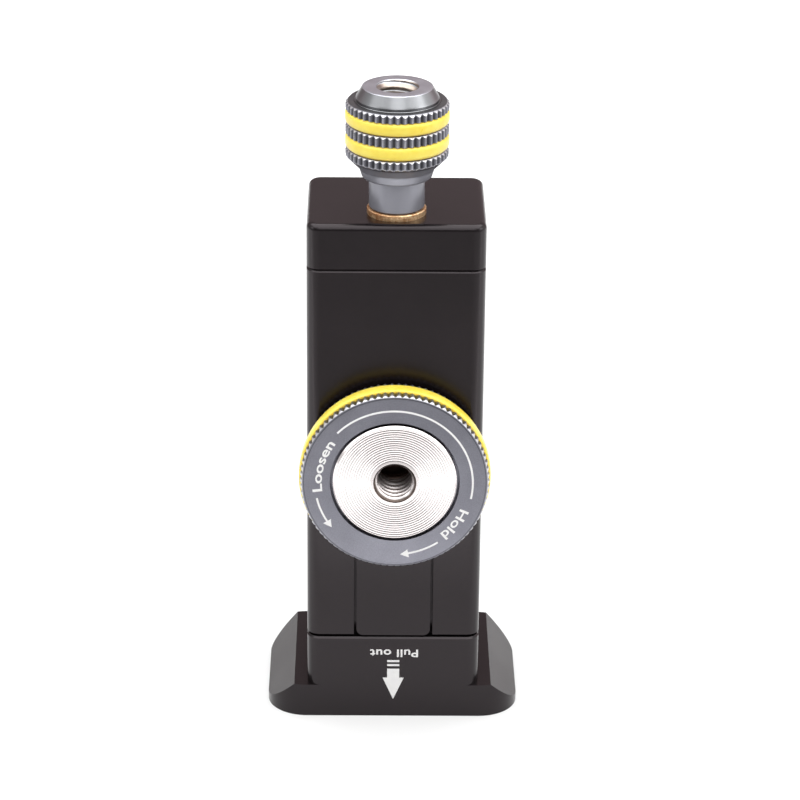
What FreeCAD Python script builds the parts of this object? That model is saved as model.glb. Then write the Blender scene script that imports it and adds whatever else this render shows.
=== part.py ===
"""Tripod phone clamp: an aluminium housing that slides on a spring-loaded rail above a dovetail foot.

Millimetres, +Z up. The origin is on the underside of the foot, under the axis of the top knob.
The front, with the lock wheel and the steel tripod socket, faces -Y. The phone sits behind the housing,
between the top jaw and the lower jaw.
"""
import FreeCAD, Part
import math
import os
import re
import Sketcher

os.makedirs("parts", exist_ok=True)
doc = FreeCAD.newDocument("phone_clamp")

# Driving sizes, in millimetres unless the name says count
SIZES = (
    ("knob_setback", 5.8, "front face of the housing to the knob's axis"),
    ("housing_width", 26.0, "housing, top jaw and lower jaw block, left to right"),
    ("back_wall", 1.7, "housing wall behind the rail"),
    ("housing_bottom", 13.8, "lower end of the housing above the ground, clamp closed"),
    ("housing_top", 73.0, "joint between the housing and the top jaw"),
    ("corner_radius", 1.9, "upright corners of the housing and the jaws"),
    ("edge_chamfer", 0.25, "small chamfer along machined edges"),
    ("overrun", 1.2, "how far a cutting shape runs past the face that it cuts"),
    ("front_wall", 2.5, "housing wall in front of the rail"),
    ("rail_width", 19.0, "slide rail, left to right"),
    ("rail_depth", 6.2, "slide rail, front to back"),
    ("rail_headroom", 2.0, "upper end of the rail to the head web, clamp closed"),
    ("slide_gap", 0.1, "clearance of the rail in the housing, each side"),
    ("web_height", 7.0, "solid head of the housing above the rail's cavity"),
    ("travel", 28.0, "how far the clamp opens"),
    ("tongue_width", 11.1, "raised tongue of the rail, flush with the front"),
    ("tongue_gap", 0.4, "gap beside the tongue"),
    ("tongue_drop", 10.3, "upper end of the tongue below the wheel's axis"),
    ("tongue_corner", 1.0, "corner radius of the tongue"),
    ("foot_width", 38.2, "dovetail foot, left to right"),
    ("foot_depth", 24.4, "dovetail foot, front to back"),
    ("foot_height", 5.3, "dovetail foot, up to its flat"),
    ("foot_edge", 1.2, "upright lower edge of the dovetail, below its 45 degree flank"),
    ("foot_front_radius", 6.0, "front corners of the foot seen from above"),
    ("foot_back_radius", 5.5, "back corners of the foot seen from above"),
    ("seat_gap", 0.3, "gap between the lower jaw block and the housing, clamp closed"),
    ("shelf_back", 1.0, "back of the lower jaw block to the back of the foot"),
    ("lower_lip", 1.6, "lip of the lower jaw, front to back"),
    ("lower_lip_height", 2.5, "lip of the lower jaw above its shelf"),
    ("socket_depth", 3.5, "how deep the rail is let into the lower jaw"),
    ("jaw_screw_inset", 3.9, "jaw screws and return springs to the side of the rail"),
    ("jaw_screw_radius", 1.5, "shank of the lower jaw screws"),
    ("jaw_head_radius", 2.9, "head of the lower jaw screws"),
    ("jaw_head_sink", 0.3, "screw heads below the underside of the foot"),
    ("jaw_screw_reach", 1.0, "tips of the lower jaw screws above the jaw block"),
    ("top_jaw_height", 7.0, "top jaw block"),
    ("top_jaw_depth", 21.4, "top jaw block, front to back"),
    ("top_fillet", 0.95, "rounded upper edges of the top jaw"),
    ("top_lip", 1.4, "lip of the top jaw, front to back"),
    ("top_lip_drop", 2.5, "lip of the top jaw below the housing joint"),
    ("cap_screw_spread", 7.2, "top jaw screws to the middle plane"),
    ("cap_screw_radius", 1.25, "shank of the top jaw screws"),
    ("cap_head_radius", 2.2, "head of the top jaw screws"),
    ("cap_screw_reach", 4.5, "tips of the top jaw screws above the housing joint"),
    ("hex_key_radius", 1.0, "corner radius of the hexagon sockets"),
    ("pad_thickness", 1.2, "rubber pads"),
    ("pad_sink", 0.4, "how deep the pads are let in"),
    ("pad_margin", 1.6, "bare metal beside the pads"),
    ("rib_height", 0.25, "grip ribs of the pads"),
    ("back_pad_rise", 1.4, "back pad above the lower end of the housing"),
    ("back_pad_drop", 3.0, "back pad below the housing joint"),
    ("stop_radius", 1.5, "travel stop pin"),
    ("stop_rise", 6.2, "travel stop pin above the lower end of the housing"),
    ("stop_reach", 1.6, "stop pin and its slot in the rail"),
    ("seat_radius", 1.3, "pins under the return springs"),
    ("seat_rise", 3.2, "spring seat pins above the lower end of the housing"),
    ("spring_radius", 1.3, "return spring to the middle of its wire"),
    ("spring_wire", 0.4, "wire of the return springs"),
    ("spring_room", 0.25, "clearance of a return spring in its groove, radial"),
    ("spring_shoulder", 3.0, "upper end of the spring grooves below the rail's end"),
    ("spring_turns", 20.0, "turns of a return spring, a count"),
    ("wheel_height", 42.1, "tripod socket and lock wheel above the ground"),
    ("wheel_radius", 13.9, "lock wheel over its knurl"),
    ("wheel_gap", 1.0, "back of the lock wheel to the housing"),
    ("wheel_back_band", 0.85, "back knurl of the lock wheel"),
    ("wheel_rim_width", 0.5, "rounded front edge of the lock wheel, radial"),
    ("wheel_rim_length", 0.85, "rounded front edge of the lock wheel, along its axis"),
    ("wheel_front_band", 1.5, "front knurl of the lock wheel with its rounded edge"),
    ("wheel_ring_width", 2.45, "yellow ring of the lock wheel"),
    ("wheel_ring_swell", 0.25, "yellow ring of the lock wheel beyond the knurl"),
    ("wheel_teeth", 86.0, "teeth round the lock wheel, a count"),
    ("tooth_depth", 0.32, "depth of all knurls"),
    ("ring_seat", 0.75, "depth of the grooves for the yellow rings"),
    ("socket_reach", 2.1, "steel face of the tripod socket beyond its hub"),
    ("socket_ring_gap", 0.4, "dark gap round the steel face"),
    ("socket_proud", 0.25, "steel face in front of the wheel's face"),
    ("socket_flange", 2.0, "thickness of the steel face"),
    ("hub_step", 2.0, "hub that the wheel turns on, beyond the spigot"),
    ("spigot_wall", 2.45, "wall of the threaded spigot through the housing"),
    ("nut_wall", 1.0, "wall of the round nut behind the housing's front wall"),
    ("nut_height", 1.5, "round nut"),
    ("hub_play", 0.05, "running fit of turning parts, radial"),
    ("washer_width", 1.6, "thrust washer behind the wheel, beyond the hub"),
    ("axial_play", 0.1, "axial play of turning parts"),
    ("thread_radius", 2.55, "minor radius of the quarter inch threads"),
    ("mouth_chamfer", 0.6, "countersink of the quarter inch threads"),
    ("socket_thread", 8.4, "depth of the tripod thread"),
    ("face_ring_pitch", 0.35, "turned rings on the steel face"),
    ("face_ring_depth", 0.05, "depth of the turned rings"),
    ("brake_inset", 0.1, "brake pins to the side of the rail"),
    ("brake_drop", 8.0, "brake pins below the wheel's axis"),
    ("brake_radius", 1.5, "brake pins"),
    ("brake_gap", 0.3, "brake pins to the rail when the wheel is open"),
    ("stem_radius", 4.05, "stem of the knob"),
    ("journal_radius", 2.5, "journal of the knob in its bush"),
    ("journal_reach", 0.6, "lower end of the journal above the head web's underside"),
    ("bush_flange_reach", 0.9, "flange of the brass bush beyond its sleeve"),
    ("bush_flange_height", 0.9, "flange of the brass bush"),
    ("bush_wall", 0.85, "sleeve of the brass bush"),
    ("pocket_room", 0.4, "pocket for the washer and clip, wider than the bush"),
    ("pocket_height", 3.0, "pocket for the washer and clip, its height"),
    ("clip_height", 0.7, "retaining clip and thrust washer"),
    ("clip_groove", 0.4, "depth of the clip's groove"),
    ("stem_length", 4.8, "stem of the knob below its collar"),
    ("collar_height", 1.35, "collar between the knob's stem and its lowest knurl"),
    ("collar_step", 1.95, "knurl beyond the top of the collar"),
    ("collar_taper", 0.4, "collar's lower end, how much narrower than its top, radial"),
    ("rim_width", 1.25, "knob's rim round the threaded insert, over its knurl"),
    ("knob_teeth", 44.0, "teeth round the knob, a count"),
    ("lower_band_height", 3.1, "lowest knurl of the knob with its chamfers"),
    ("lower_ring_height", 2.1, "lower yellow ring"),
    ("middle_band_height", 1.55, "middle knurl"),
    ("upper_ring_height", 2.0, "upper yellow ring"),
    ("rim_height", 1.25, "highest knurl of the knob"),
    ("rim_chamfer", 0.35, "chamfer of the knob's rim"),
    ("knob_ring_swell", 0.1, "yellow rings of the knob beyond the knurl"),
    ("insert_flange", 6.2, "flange of the threaded insert"),
    ("insert_neck_step", 0.45, "undercut of the threaded insert"),
    ("insert_wall", 2.05, "wall of the threaded insert inside the knob"),
    ("insert_depth", 9.05, "threaded insert below the knob's rim"),
    ("insert_floor", 1.4, "closed lower end of the threaded insert"),
    ("insert_neck_height", 0.45, "insert's bevel above the knob's rim"),
    ("insert_bevel_step", 0.2, "insert's bevel within its flange"),
    ("insert_bevel_width", 0.9, "insert's bevel, radial"),
    ("insert_standout", 2.05, "top face of the insert above the knob's rim"),
)

# Where a sketch's corners lie before their constraints place them
FIRST_GUESS = 10.0

# Share of its pitch that a turned ring on the steel face takes
RING_SHARE = 0.7

# Share of its width that a rounded edge has lost half way round
ROUND_SHARE = 0.293

# Places worked out from the driving sizes
PLACES = {
    "front": "-knob_setback",
    "cavity_front": "front + front_wall",
    "rail_front": "cavity_front + slide_gap",
    "rail_back": "rail_front + rail_depth",
    "cavity_back": "rail_back + slide_gap",
    "back": "cavity_back + back_wall",
    "half_width": "housing_width / 2",
    "cavity_half": "rail_width / 2 + slide_gap",
    "cavity_top": "housing_top - web_height",
    "head_middle": "(cavity_front + cavity_back) / 2",
    "rail_top": "cavity_top - rail_headroom",
    "tongue_top": "wheel_height - tongue_drop",
    "slot_half": "tongue_width / 2 + tongue_gap",
    "slot_top": "tongue_top + tongue_gap",
    "block_top": "housing_bottom - seat_gap",
    "rail_bottom": "block_top - socket_depth",
    "jaw_screw_spread": "rail_width / 2 - jaw_screw_inset",
    "jaw_screw_end": "block_top + jaw_screw_reach",
    "foot_back": "front + foot_depth",
    "foot_half": "foot_width / 2",
    "shelf_end": "foot_back - shelf_back",
    "lip_front": "shelf_end - lower_lip",
    "top_jaw_back": "front + top_jaw_depth",
    "top_lip_front": "top_jaw_back - top_lip",
    "jaw_roof": "housing_top + top_jaw_height",
    "cap_screw_end": "housing_top + cap_screw_reach",
    "pad_front": "back + pad_thickness",
    "pad_half": "half_width - pad_margin",
    "back_pad_bottom": "housing_bottom + back_pad_rise",
    "back_pad_top": "housing_top - back_pad_drop",
    "stop_height": "housing_bottom + stop_rise",
    "seat_height": "housing_bottom + seat_rise",
    "spring_groove": "spring_radius + spring_wire / 2 + spring_room",
    "spring_middle": "rail_back - spring_groove",
    "spring_bottom": "seat_height + seat_radius + slide_gap",
    "spring_top": "rail_top - spring_shoulder",
    "ring_back": "wheel_gap + wheel_back_band",
    "ring_front": "ring_back + wheel_ring_width",
    "wheel_standoff": "ring_front + wheel_front_band",
    "wheel_root": "wheel_radius - ring_seat",
    "thread_mouth": "thread_radius + mouth_chamfer",
    "socket_spigot": "thread_radius + spigot_wall",
    "socket_hub": "socket_spigot + hub_step",
    "socket_radius": "socket_hub + socket_reach",
    "socket_face": "wheel_standoff + socket_proud",
    "nut_radius": "socket_spigot + nut_wall",
    "nut_back": "front_wall + nut_height",
    "nut_recess": "cavity_front + nut_height + slide_gap * 4",
    "washer_radius": "socket_hub + washer_width",
    "web_front": "socket_face - socket_flange - axial_play",
    "brake_spread": "rail_width / 2 - brake_radius - brake_inset",
    "brake_height": "wheel_height - brake_drop",
    "bush_radius": "journal_radius + hub_play + bush_wall",
    "bush_flange": "bush_radius + bush_flange_reach",
    "bush_bottom": "cavity_top + pocket_height",
    "pocket_radius": "bush_radius + pocket_room",
    "washer_bottom": "bush_bottom - clip_height",
    "clip_bottom": "washer_bottom - clip_height - axial_play",
    "journal_end": "cavity_top + journal_reach",
    "stem_bottom": "jaw_roof + bush_flange_height",
    "collar_bottom": "stem_bottom + stem_length",
    "collar_top": "collar_bottom + collar_height",
    "lower_band_top": "collar_top + lower_band_height",
    "lower_ring_top": "lower_band_top + lower_ring_height",
    "middle_band_top": "lower_ring_top + middle_band_height",
    "upper_ring_top": "middle_band_top + upper_ring_height",
    "knob_top": "upper_ring_top + rim_height",
    "knob_radius": "insert_flange + rim_width",
    "collar_radius": "knob_radius - collar_step",
    "insert_neck": "insert_flange - insert_neck_step",
    "insert_body": "thread_radius + insert_wall",
    "insert_bottom": "knob_top - insert_depth",
    "insert_thread_end": "insert_bottom + insert_floor",
    "insert_bevel_bottom": "knob_top + insert_neck_height",
    "insert_bevel_radius": "insert_flange - insert_bevel_step",
    "insert_face_radius": "insert_bevel_radius - insert_bevel_width",
    "insert_top": "knob_top + insert_standout",
}

sheet = doc.addObject("Spreadsheet::Sheet", "Sizes")
for row, (alias, value, meaning) in enumerate(SIZES, start=1):
    sheet.set("A%d" % row, alias)
    sheet.set("B%d" % row, str(value))
    sheet.setAlias("B%d" % row, alias)
    sheet.set("C%d" % row, meaning)
doc.recompute()


def formula(text):
    """An expression for the document: places are written out and driving sizes point at their cells."""
    def swap(match):
        word = match.group(0)
        if word in PLACES:
            return "(" + formula(PLACES[word]) + ")"
        return "Sizes." + word
    return re.sub(r"[a-z]+(?:_[a-z]+)*", swap, text)


def bind(thing, **properties):
    """Binds properties to expressions. A double underscore stands for a dot in a property's name."""
    for name, text in properties.items():
        thing.setExpression(name.replace("__", "."), formula(text))
    return thing


def new_object(kind, name):
    thing = doc.addObject(kind, name)
    thing.Label = name
    return thing


# Basic shapes
def box(name, x, y, z):
    """A box between two bounds in each direction."""
    solid = new_object("Part::Box", name)
    bind(solid, Length="(%s) - (%s)" % (x[1], x[0]), Width="(%s) - (%s)" % (y[1], y[0]),
         Height="(%s) - (%s)" % (z[1], z[0]))
    return bind(solid, Placement__Base__x=x[0], Placement__Base__y=y[0], Placement__Base__z=z[0])


def upright_cylinder(name, radius, x, y, z):
    solid = new_object("Part::Cylinder", name)
    bind(solid, Radius=radius, Height="(%s) - (%s)" % (z[1], z[0]))
    return bind(solid, Placement__Base__x=x, Placement__Base__y=y, Placement__Base__z=z[0])


def level_cylinder(name, radius, x, y, z):
    """A cylinder along Y, from y[0] at its front to y[1] at its back."""
    solid = new_object("Part::Cylinder", name)
    solid.Placement = FreeCAD.Placement(FreeCAD.Vector(), FreeCAD.Rotation(FreeCAD.Vector(1, 0, 0), -90))
    bind(solid, Radius=radius, Height="(%s) - (%s)" % (y[1], y[0]))
    return bind(solid, Placement__Base__x=x, Placement__Base__y=y[0], Placement__Base__z=z)


def mirrored_pair(name, make, spread):
    """Two like solids left and right of the middle plane."""
    return [make(name + "_left", "-" + spread), make(name + "_right", spread)]


def sketch_polygon(body, role, points):
    """A closed sketch whose corners are tied to expressions, on one of the body's own origin planes."""
    plane = [feature for feature in body.Origin.OriginFeatures if feature.Role == role][0]
    sketch = body.newObject("Sketcher::SketchObject", body.Name + "_outline")
    sketch.AttachmentSupport = (plane, [""])
    sketch.MapMode = "FlatFace"
    count = len(points)
    turn = 2 * math.pi / count
    start = [FreeCAD.Vector(FIRST_GUESS + math.cos(k * turn), math.sin(k * turn), 0) for k in range(count)]
    sketch.addGeometry([Part.LineSegment(start[k], start[(k + 1) % count]) for k in range(count)], False)
    rules = [Sketcher.Constraint("Coincident", k, 2, (k + 1) % count, 1) for k in range(count)]
    for k in range(count):
        rules.append(Sketcher.Constraint("DistanceX", -1, 1, k, 1, start[k].x))
        rules.append(Sketcher.Constraint("DistanceY", -1, 1, k, 1, start[k].y))
    sketch.addConstraint(rules)
    for k, (across, up) in enumerate(points):
        sketch.setExpression("Constraints[%d]" % (count + 2 * k), formula(across))
        sketch.setExpression("Constraints[%d]" % (count + 2 * k + 1), formula(up))
    return sketch


def turned(name, profile):
    """A turned piece: (radius, height) corners carried round the Z axis."""
    body = new_object("PartDesign::Body", name)
    sketch = sketch_polygon(body, "XZ_Plane", profile)
    turn = body.newObject("PartDesign::Revolution", name + "_turn")
    turn.Profile = sketch
    turn.ReferenceAxis = (sketch, ["V_Axis"])
    turn.Angle = 360
    return body


def milled(name, outline, bottom, height):
    """A milled block: an outline seen from above, carried up."""
    body = new_object("PartDesign::Body", name)
    sketch = sketch_polygon(body, "XY_Plane", outline)
    bind(sketch, AttachmentOffset__Base__z=bottom)
    pad = body.newObject("PartDesign::Pad", name + "_pad")
    pad.Profile = sketch
    bind(pad, Length=height)
    doc.recompute()
    return body


def rectangle(x, y):
    return [(x[0], y[0]), (x[1], y[0]), (x[1], y[1]), (x[0], y[1])]


def soften(body, kind, size, wanted):
    """Adds a Fillet or Chamfer feature to the body's edges for which wanted(edge, box) holds."""
    before = body.Tip
    shape = before.Shape
    names = ["Edge%d" % (k + 1) for k, edge in enumerate(shape.Edges) if wanted(edge, shape.BoundBox)]
    feature = body.newObject("PartDesign::" + kind, "%s_%s_%d" % (body.Name, kind.lower(), len(body.Group)))
    feature.Base = (before, names)
    bind(feature, **{"Radius" if kind == "Fillet" else "Size": size})
    doc.recompute()
    return body


def near(one, other):
    return abs(one - other) < 1e-4


def upright(edge):
    return near(edge.BoundBox.XLength, 0) and near(edge.BoundBox.YLength, 0)


def at_height(edge, height):
    return near(edge.BoundBox.ZMin, height) and near(edge.BoundBox.ZMax, height)


def in_front(edge, bounds):
    return edge.CenterOfMass.y < bounds.Center.y


def toward_front(thing, y, z):
    """Turns a piece modelled along +Z so that it points at the viewer, and puts it at its place."""
    thing.Placement = FreeCAD.Placement(FreeCAD.Vector(), FreeCAD.Rotation(FreeCAD.Vector(1, 0, 0), 90))
    return bind(thing, Placement__Base__y=y, Placement__Base__z=z)


def fused(name, parts):
    joined = new_object("Part::MultiFuse", name)
    joined.Shapes = parts
    joined.Refine = True
    return joined


def cut(name, base, tools):
    """The base with one tool, or several joined tools, taken away."""
    result = new_object("Part::Cut", name)
    result.Base = base
    result.Tool = tools[0] if len(tools) == 1 else fused(name + "_tools", tools)
    result.Refine = True
    return result


def common(name, one, other):
    result = new_object("Part::Common", name)
    result.Base = one
    result.Tool = other
    return result


def group(name, parts):
    bundle = new_object("Part::Compound", name)
    bundle.Links = parts
    return bundle


def tooth_prism(name, tip, teeth, tall):
    """A prism whose outline is a ring of straight V teeth, from the ground up."""
    root = tip - sheet.get("tooth_depth")
    count = int(round(sheet.get(teeth)))
    step = math.pi / count
    corners = []
    for k in range(2 * count):
        reach = root if k % 2 else tip
        corners.append(FreeCAD.Vector(reach * math.cos(k * step), reach * math.sin(k * step), 0))
    outline = Part.makePolygon(corners + corners[:1])
    prism = new_object("Part::Feature", name)
    prism.Shape = Part.Face(outline).extrude(FreeCAD.Vector(0, 0, tall))
    return prism


def countersunk_screw(name, x, y, head, tip, shank, head_radius):
    """A flat-head screw that points up, with a hexagon socket in its head."""
    slope = "(%s) + (%s) - (%s)" % (head, head_radius, shank)
    blank = turned(name + "_blank", [
        ("0", head),
        (head_radius, head),
        (shank, slope),
        (shank, tip + " - edge_chamfer"),
        (shank + " - edge_chamfer", tip),
        ("0", tip),
    ])
    key = new_object("Part::Prism", name + "_key")
    key.Polygon = 6
    bind(key, Circumradius="hex_key_radius", Height="hex_key_radius * 1.2", Placement__Base__z=head)
    return bind(cut(name, blank, [key]), Placement__Base__x=x, Placement__Base__y=y)


def screw_hole(name, x, y, head, tip, shank, head_radius):
    """The room that a countersunk screw takes, with its head open downwards."""
    slope = "(%s) + (%s) - (%s)" % (head, head_radius, shank)
    below = "(%s) - overrun" % head
    hole = turned(name, [("0", below), (head_radius, below), (head_radius, head), (shank, slope),
                         (shank, tip), ("0", tip)])
    return bind(hole, Placement__Base__x=x, Placement__Base__y=y)


# Lower jaw and what is fixed to it
def make_lower_jaw():
    """Dovetail foot with 45 degree flanks, block under the housing, shelf and lip behind it."""
    plan = milled("foot_plan", rectangle(("-foot_half", "foot_half"), ("front", "foot_back")),
                  "0", "foot_height")
    soften(plan, "Fillet", "foot_front_radius",
           lambda edge, bounds: upright(edge) and in_front(edge, bounds))
    soften(plan, "Fillet", "foot_back_radius",
           lambda edge, bounds: upright(edge) and near(edge.CenterOfMass.y, bounds.YMax))
    flank = new_object("PartDesign::Body", "foot_flank")
    ridge = "foot_half - foot_height + foot_edge"
    sketch = sketch_polygon(flank, "XZ_Plane", [
        ("-foot_half", "0"),
        ("foot_half", "0"),
        ("foot_half", "foot_edge"),
        (ridge, "foot_height"),
        ("-(%s)" % ridge, "foot_height"),
        ("-foot_half", "foot_edge"),
    ])
    bind(sketch, AttachmentOffset__Base__z="knob_setback")
    pad = flank.newObject("PartDesign::Pad", "foot_flank_pad")
    pad.Profile = sketch
    pad.Reversed = True
    bind(pad, Length="foot_depth")
    foot = common("foot_plate", plan, flank)

    block = milled("jaw_block", rectangle(("-half_width", "half_width"), ("front", "shelf_end")),
                   "foot_height", "block_top - foot_height")
    soften(block, "Fillet", "corner_radius", lambda edge, bounds: upright(edge))
    soften(block, "Chamfer", "edge_chamfer", lambda edge, bounds: at_height(edge, bounds.ZMax))
    lip = milled("jaw_lip", rectangle(("-half_width + corner_radius", "half_width - corner_radius"),
                                      ("lip_front", "shelf_end")),
                 "block_top - edge_chamfer", "lower_lip_height + edge_chamfer")
    soften(lip, "Fillet", "lower_lip / 2.5",
           lambda edge, bounds: at_height(edge, bounds.ZMax) and edge.BoundBox.XLength > bounds.XLength / 2)
    solid = fused("lower_jaw_solid", [foot, block, lip])

    socket = box("rail_socket", ("-rail_width / 2", "rail_width / 2"), ("rail_front", "rail_back"),
                 ("rail_bottom", "block_top + seat_gap"))
    holes = mirrored_pair("jaw_screw_hole", lambda name, x: screw_hole(
        name, x, "head_middle", "jaw_head_sink", "rail_bottom + seat_gap", "jaw_screw_radius",
        "jaw_head_radius"), "jaw_screw_spread")
    bed = box("lower_pad_bed", ("-pad_half", "pad_half"), ("pad_front", "lip_front"),
              ("block_top - pad_sink", "block_top + overrun"))
    return cut("lower_jaw", solid, [socket, bed] + holes)


def make_jaw_rail():
    """Slide rail with its raised tongue, spring grooves, stop slot and room for the nut."""
    rail = box("rail_bar", ("-rail_width / 2", "rail_width / 2"), ("rail_front", "rail_back"),
               ("rail_bottom", "rail_top"))
    tongue = milled("rail_tongue",
                    rectangle(("-tongue_width / 2", "tongue_width / 2"), ("front", "head_middle")),
                    "housing_bottom + slide_gap", "tongue_top - housing_bottom - slide_gap")
    soften(tongue, "Fillet", "tongue_corner",
           lambda edge, bounds: near(edge.BoundBox.XLength, 0) and near(edge.BoundBox.ZLength, 0))
    solid = fused("rail_solid", [rail, tongue])
    recess_bottom = "wheel_height - nut_radius - tongue_gap"
    recess = box("nut_recess_cut", ("-nut_radius - tongue_gap", "nut_radius + tongue_gap"),
                 ("front", "nut_recess"), (recess_bottom, "rail_top + overrun"))
    grooves = []
    for side, x in (("left", "-jaw_screw_spread"), ("right", "jaw_screw_spread")):
        span = ("spring_bottom - seat_radius * 2 - tongue_gap", "spring_top")
        grooves.append(upright_cylinder("groove_round_" + side, "spring_groove", x, "spring_middle", span))
        grooves.append(box("groove_open_" + side, (x + " - spring_groove", x + " + spring_groove"),
                           ("spring_middle", "rail_back + overrun"), span))
    stop_half = "stop_radius + slide_gap"
    stop_slot = box("stop_slot", ("-(%s)" % stop_half, stop_half),
                    ("rail_back - stop_reach", "rail_back + overrun"),
                    ("stop_height - (%s)" % stop_half, "stop_height + travel + " + stop_half))
    holes = mirrored_pair("rail_thread", lambda name, x: upright_cylinder(
        name, "jaw_screw_radius", x, "head_middle",
        ("rail_bottom - seat_gap", "jaw_screw_end + slide_gap")), "jaw_screw_spread")
    return cut("jaw_rail", solid, [recess, stop_slot] + grooves + holes)


def make_jaw_screws():
    return group("jaw_screws", mirrored_pair("jaw_screw", lambda name, x: countersunk_screw(
        name, x, "head_middle", "jaw_head_sink", "jaw_screw_end", "jaw_screw_radius", "jaw_head_radius"),
        "jaw_screw_spread"))


def ribbed_pad(name, x, y, bottom, top, rib_face):
    """A flat rubber pad with grip ribs from side to side on its free face."""
    plate = box(name + "_plate", x, y, (bottom, top))
    ribs = []
    count = 5
    for k in range(count):
        step = "((%s) - (%s)) / %d" % (y[1], y[0], count)
        start = "(%s) + (%s) * %.2f" % (y[0], step, k + 0.25)
        stop = "(%s) + (%s) * %.2f" % (y[0], step, k + 0.75)
        low, high = (top, top + " + rib_height") if rib_face == "up" else (bottom + " - rib_height", bottom)
        ribs.append(box("%s_rib_%d" % (name, k + 1), x, (start, stop), (low, high)))
    return fused(name, [plate] + ribs)


def make_lower_pad():
    return ribbed_pad("lower_jaw_pad", ("-pad_half", "pad_half"), ("pad_front", "lip_front"),
                      "block_top - pad_sink", "block_top - pad_sink + pad_thickness", "up")


def make_return_spring(name, x):
    """Compression spring in its groove of the rail, between the seat pin and the groove's upper end."""
    inset = "spring_wire / 2 + slide_gap / 4"
    coil = new_object("Part::Helix", name + "_path")
    length = "spring_top - spring_bottom - 2 * (%s)" % inset
    bind(coil, Radius="spring_radius", Height=length, Pitch="(%s) / spring_turns" % length)
    wire = new_object("Part::Circle", name + "_wire")
    wire.Placement = FreeCAD.Placement(FreeCAD.Vector(), FreeCAD.Rotation(FreeCAD.Vector(1, 0, 0), 90))
    bind(wire, Radius="spring_wire / 2", Placement__Base__x="spring_radius")
    doc.recompute()
    spring = new_object("Part::Sweep", name)
    spring.Sections = [wire]
    spring.Spine = (coil, ["Edge%d" % (k + 1) for k in range(len(coil.Shape.Edges))])
    spring.Solid = True
    spring.Frenet = True
    return bind(spring, Placement__Base__x=x, Placement__Base__y="spring_middle",
                Placement__Base__z="spring_bottom + " + inset)


# Housing and what is fixed to it
def make_housing():
    """Housing with the rail's cavity, the tongue's slot, the head web and all its holes."""
    shell = milled("housing_block", rectangle(("-half_width", "half_width"), ("front", "back")),
                   "housing_bottom", "housing_top - housing_bottom")
    soften(shell, "Fillet", "corner_radius", lambda edge, bounds: upright(edge))
    soften(shell, "Chamfer", "edge_chamfer",
           lambda edge, bounds: at_height(edge, bounds.ZMax) or at_height(edge, bounds.ZMin))
    cavity = box("rail_cavity", ("-cavity_half", "cavity_half"), ("cavity_front", "cavity_back"),
                 ("housing_bottom - overrun", "cavity_top"))
    slot = box("tongue_slot", ("-slot_half", "slot_half"), ("front - overrun", "head_middle"),
               ("housing_bottom - overrun", "slot_top"))
    spigot = level_cylinder("spigot_hole", "socket_spigot", "0", ("front - overrun", "head_middle"),
                            "wheel_height")
    bush = upright_cylinder("bush_hole", "bush_radius", "0", "0", ("cavity_top", "housing_top + overrun"))
    pocket = upright_cylinder("clip_pocket", "pocket_radius", "0", "0",
                              ("cavity_top - overrun", "cavity_top + pocket_height"))
    brakes = mirrored_pair("brake_hole", lambda name, x: level_cylinder(
        name, "brake_radius + hub_play", x, ("front - overrun", "head_middle"), "brake_height"),
        "brake_spread")
    screws = mirrored_pair("cap_screw_hole", lambda name, x: screw_hole(
        name, x, "head_middle", "cavity_top", "housing_top + overrun", "cap_screw_radius",
        "cap_head_radius"), "cap_screw_spread")
    seats = mirrored_pair("spring_seat_hole", lambda name, x: level_cylinder(
        name, "seat_radius", x, ("head_middle", "back + overrun"), "seat_height"), "jaw_screw_spread")
    stop = level_cylinder("stop_hole", "stop_radius", "0", ("head_middle", "back + overrun"), "stop_height")
    bed = box("back_pad_bed", ("-pad_half", "pad_half"), ("back - pad_sink", "back + overrun"),
              ("back_pad_bottom", "back_pad_top"))
    return cut("housing", shell, [cavity, slot, spigot, bush, pocket, stop, bed] + brakes + screws + seats)


def make_top_jaw():
    """Block on top of the housing with its overhang and lip behind."""
    block = milled("top_block", rectangle(("-half_width", "half_width"), ("front", "top_jaw_back")),
                   "housing_top", "top_jaw_height")
    soften(block, "Fillet", "corner_radius", lambda edge, bounds: upright(edge))
    soften(block, "Fillet", "top_fillet", lambda edge, bounds: at_height(edge, bounds.ZMax))
    soften(block, "Chamfer", "edge_chamfer", lambda edge, bounds: at_height(edge, bounds.ZMin))
    lip = milled("top_lip_bar", rectangle(("-half_width + corner_radius", "half_width - corner_radius"),
                                          ("top_lip_front", "top_jaw_back")),
                 "housing_top - top_lip_drop", "top_lip_drop + edge_chamfer")
    soften(lip, "Fillet", "top_lip / 2.5",
           lambda edge, bounds: at_height(edge, bounds.ZMin) and edge.BoundBox.XLength > bounds.XLength / 2)
    solid = fused("top_jaw_solid", [block, lip])
    bush = upright_cylinder("top_bush_hole", "bush_radius", "0", "0",
                            ("housing_top - overrun", "jaw_roof + overrun"))
    threads = mirrored_pair("cap_thread", lambda name, x: upright_cylinder(
        name, "cap_screw_radius", x, "head_middle", ("housing_top - overrun", "cap_screw_end + slide_gap")),
        "cap_screw_spread")
    bed = box("top_pad_bed", ("-pad_half", "pad_half"), ("pad_front", "top_lip_front"),
              ("housing_top - overrun", "housing_top + pad_sink"))
    return cut("top_jaw", solid, [bush, bed] + threads)


def make_top_pad():
    return ribbed_pad("top_jaw_pad", ("-pad_half", "pad_half"), ("pad_front", "top_lip_front"),
                      "housing_top + pad_sink - pad_thickness", "housing_top + pad_sink", "down")


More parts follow.
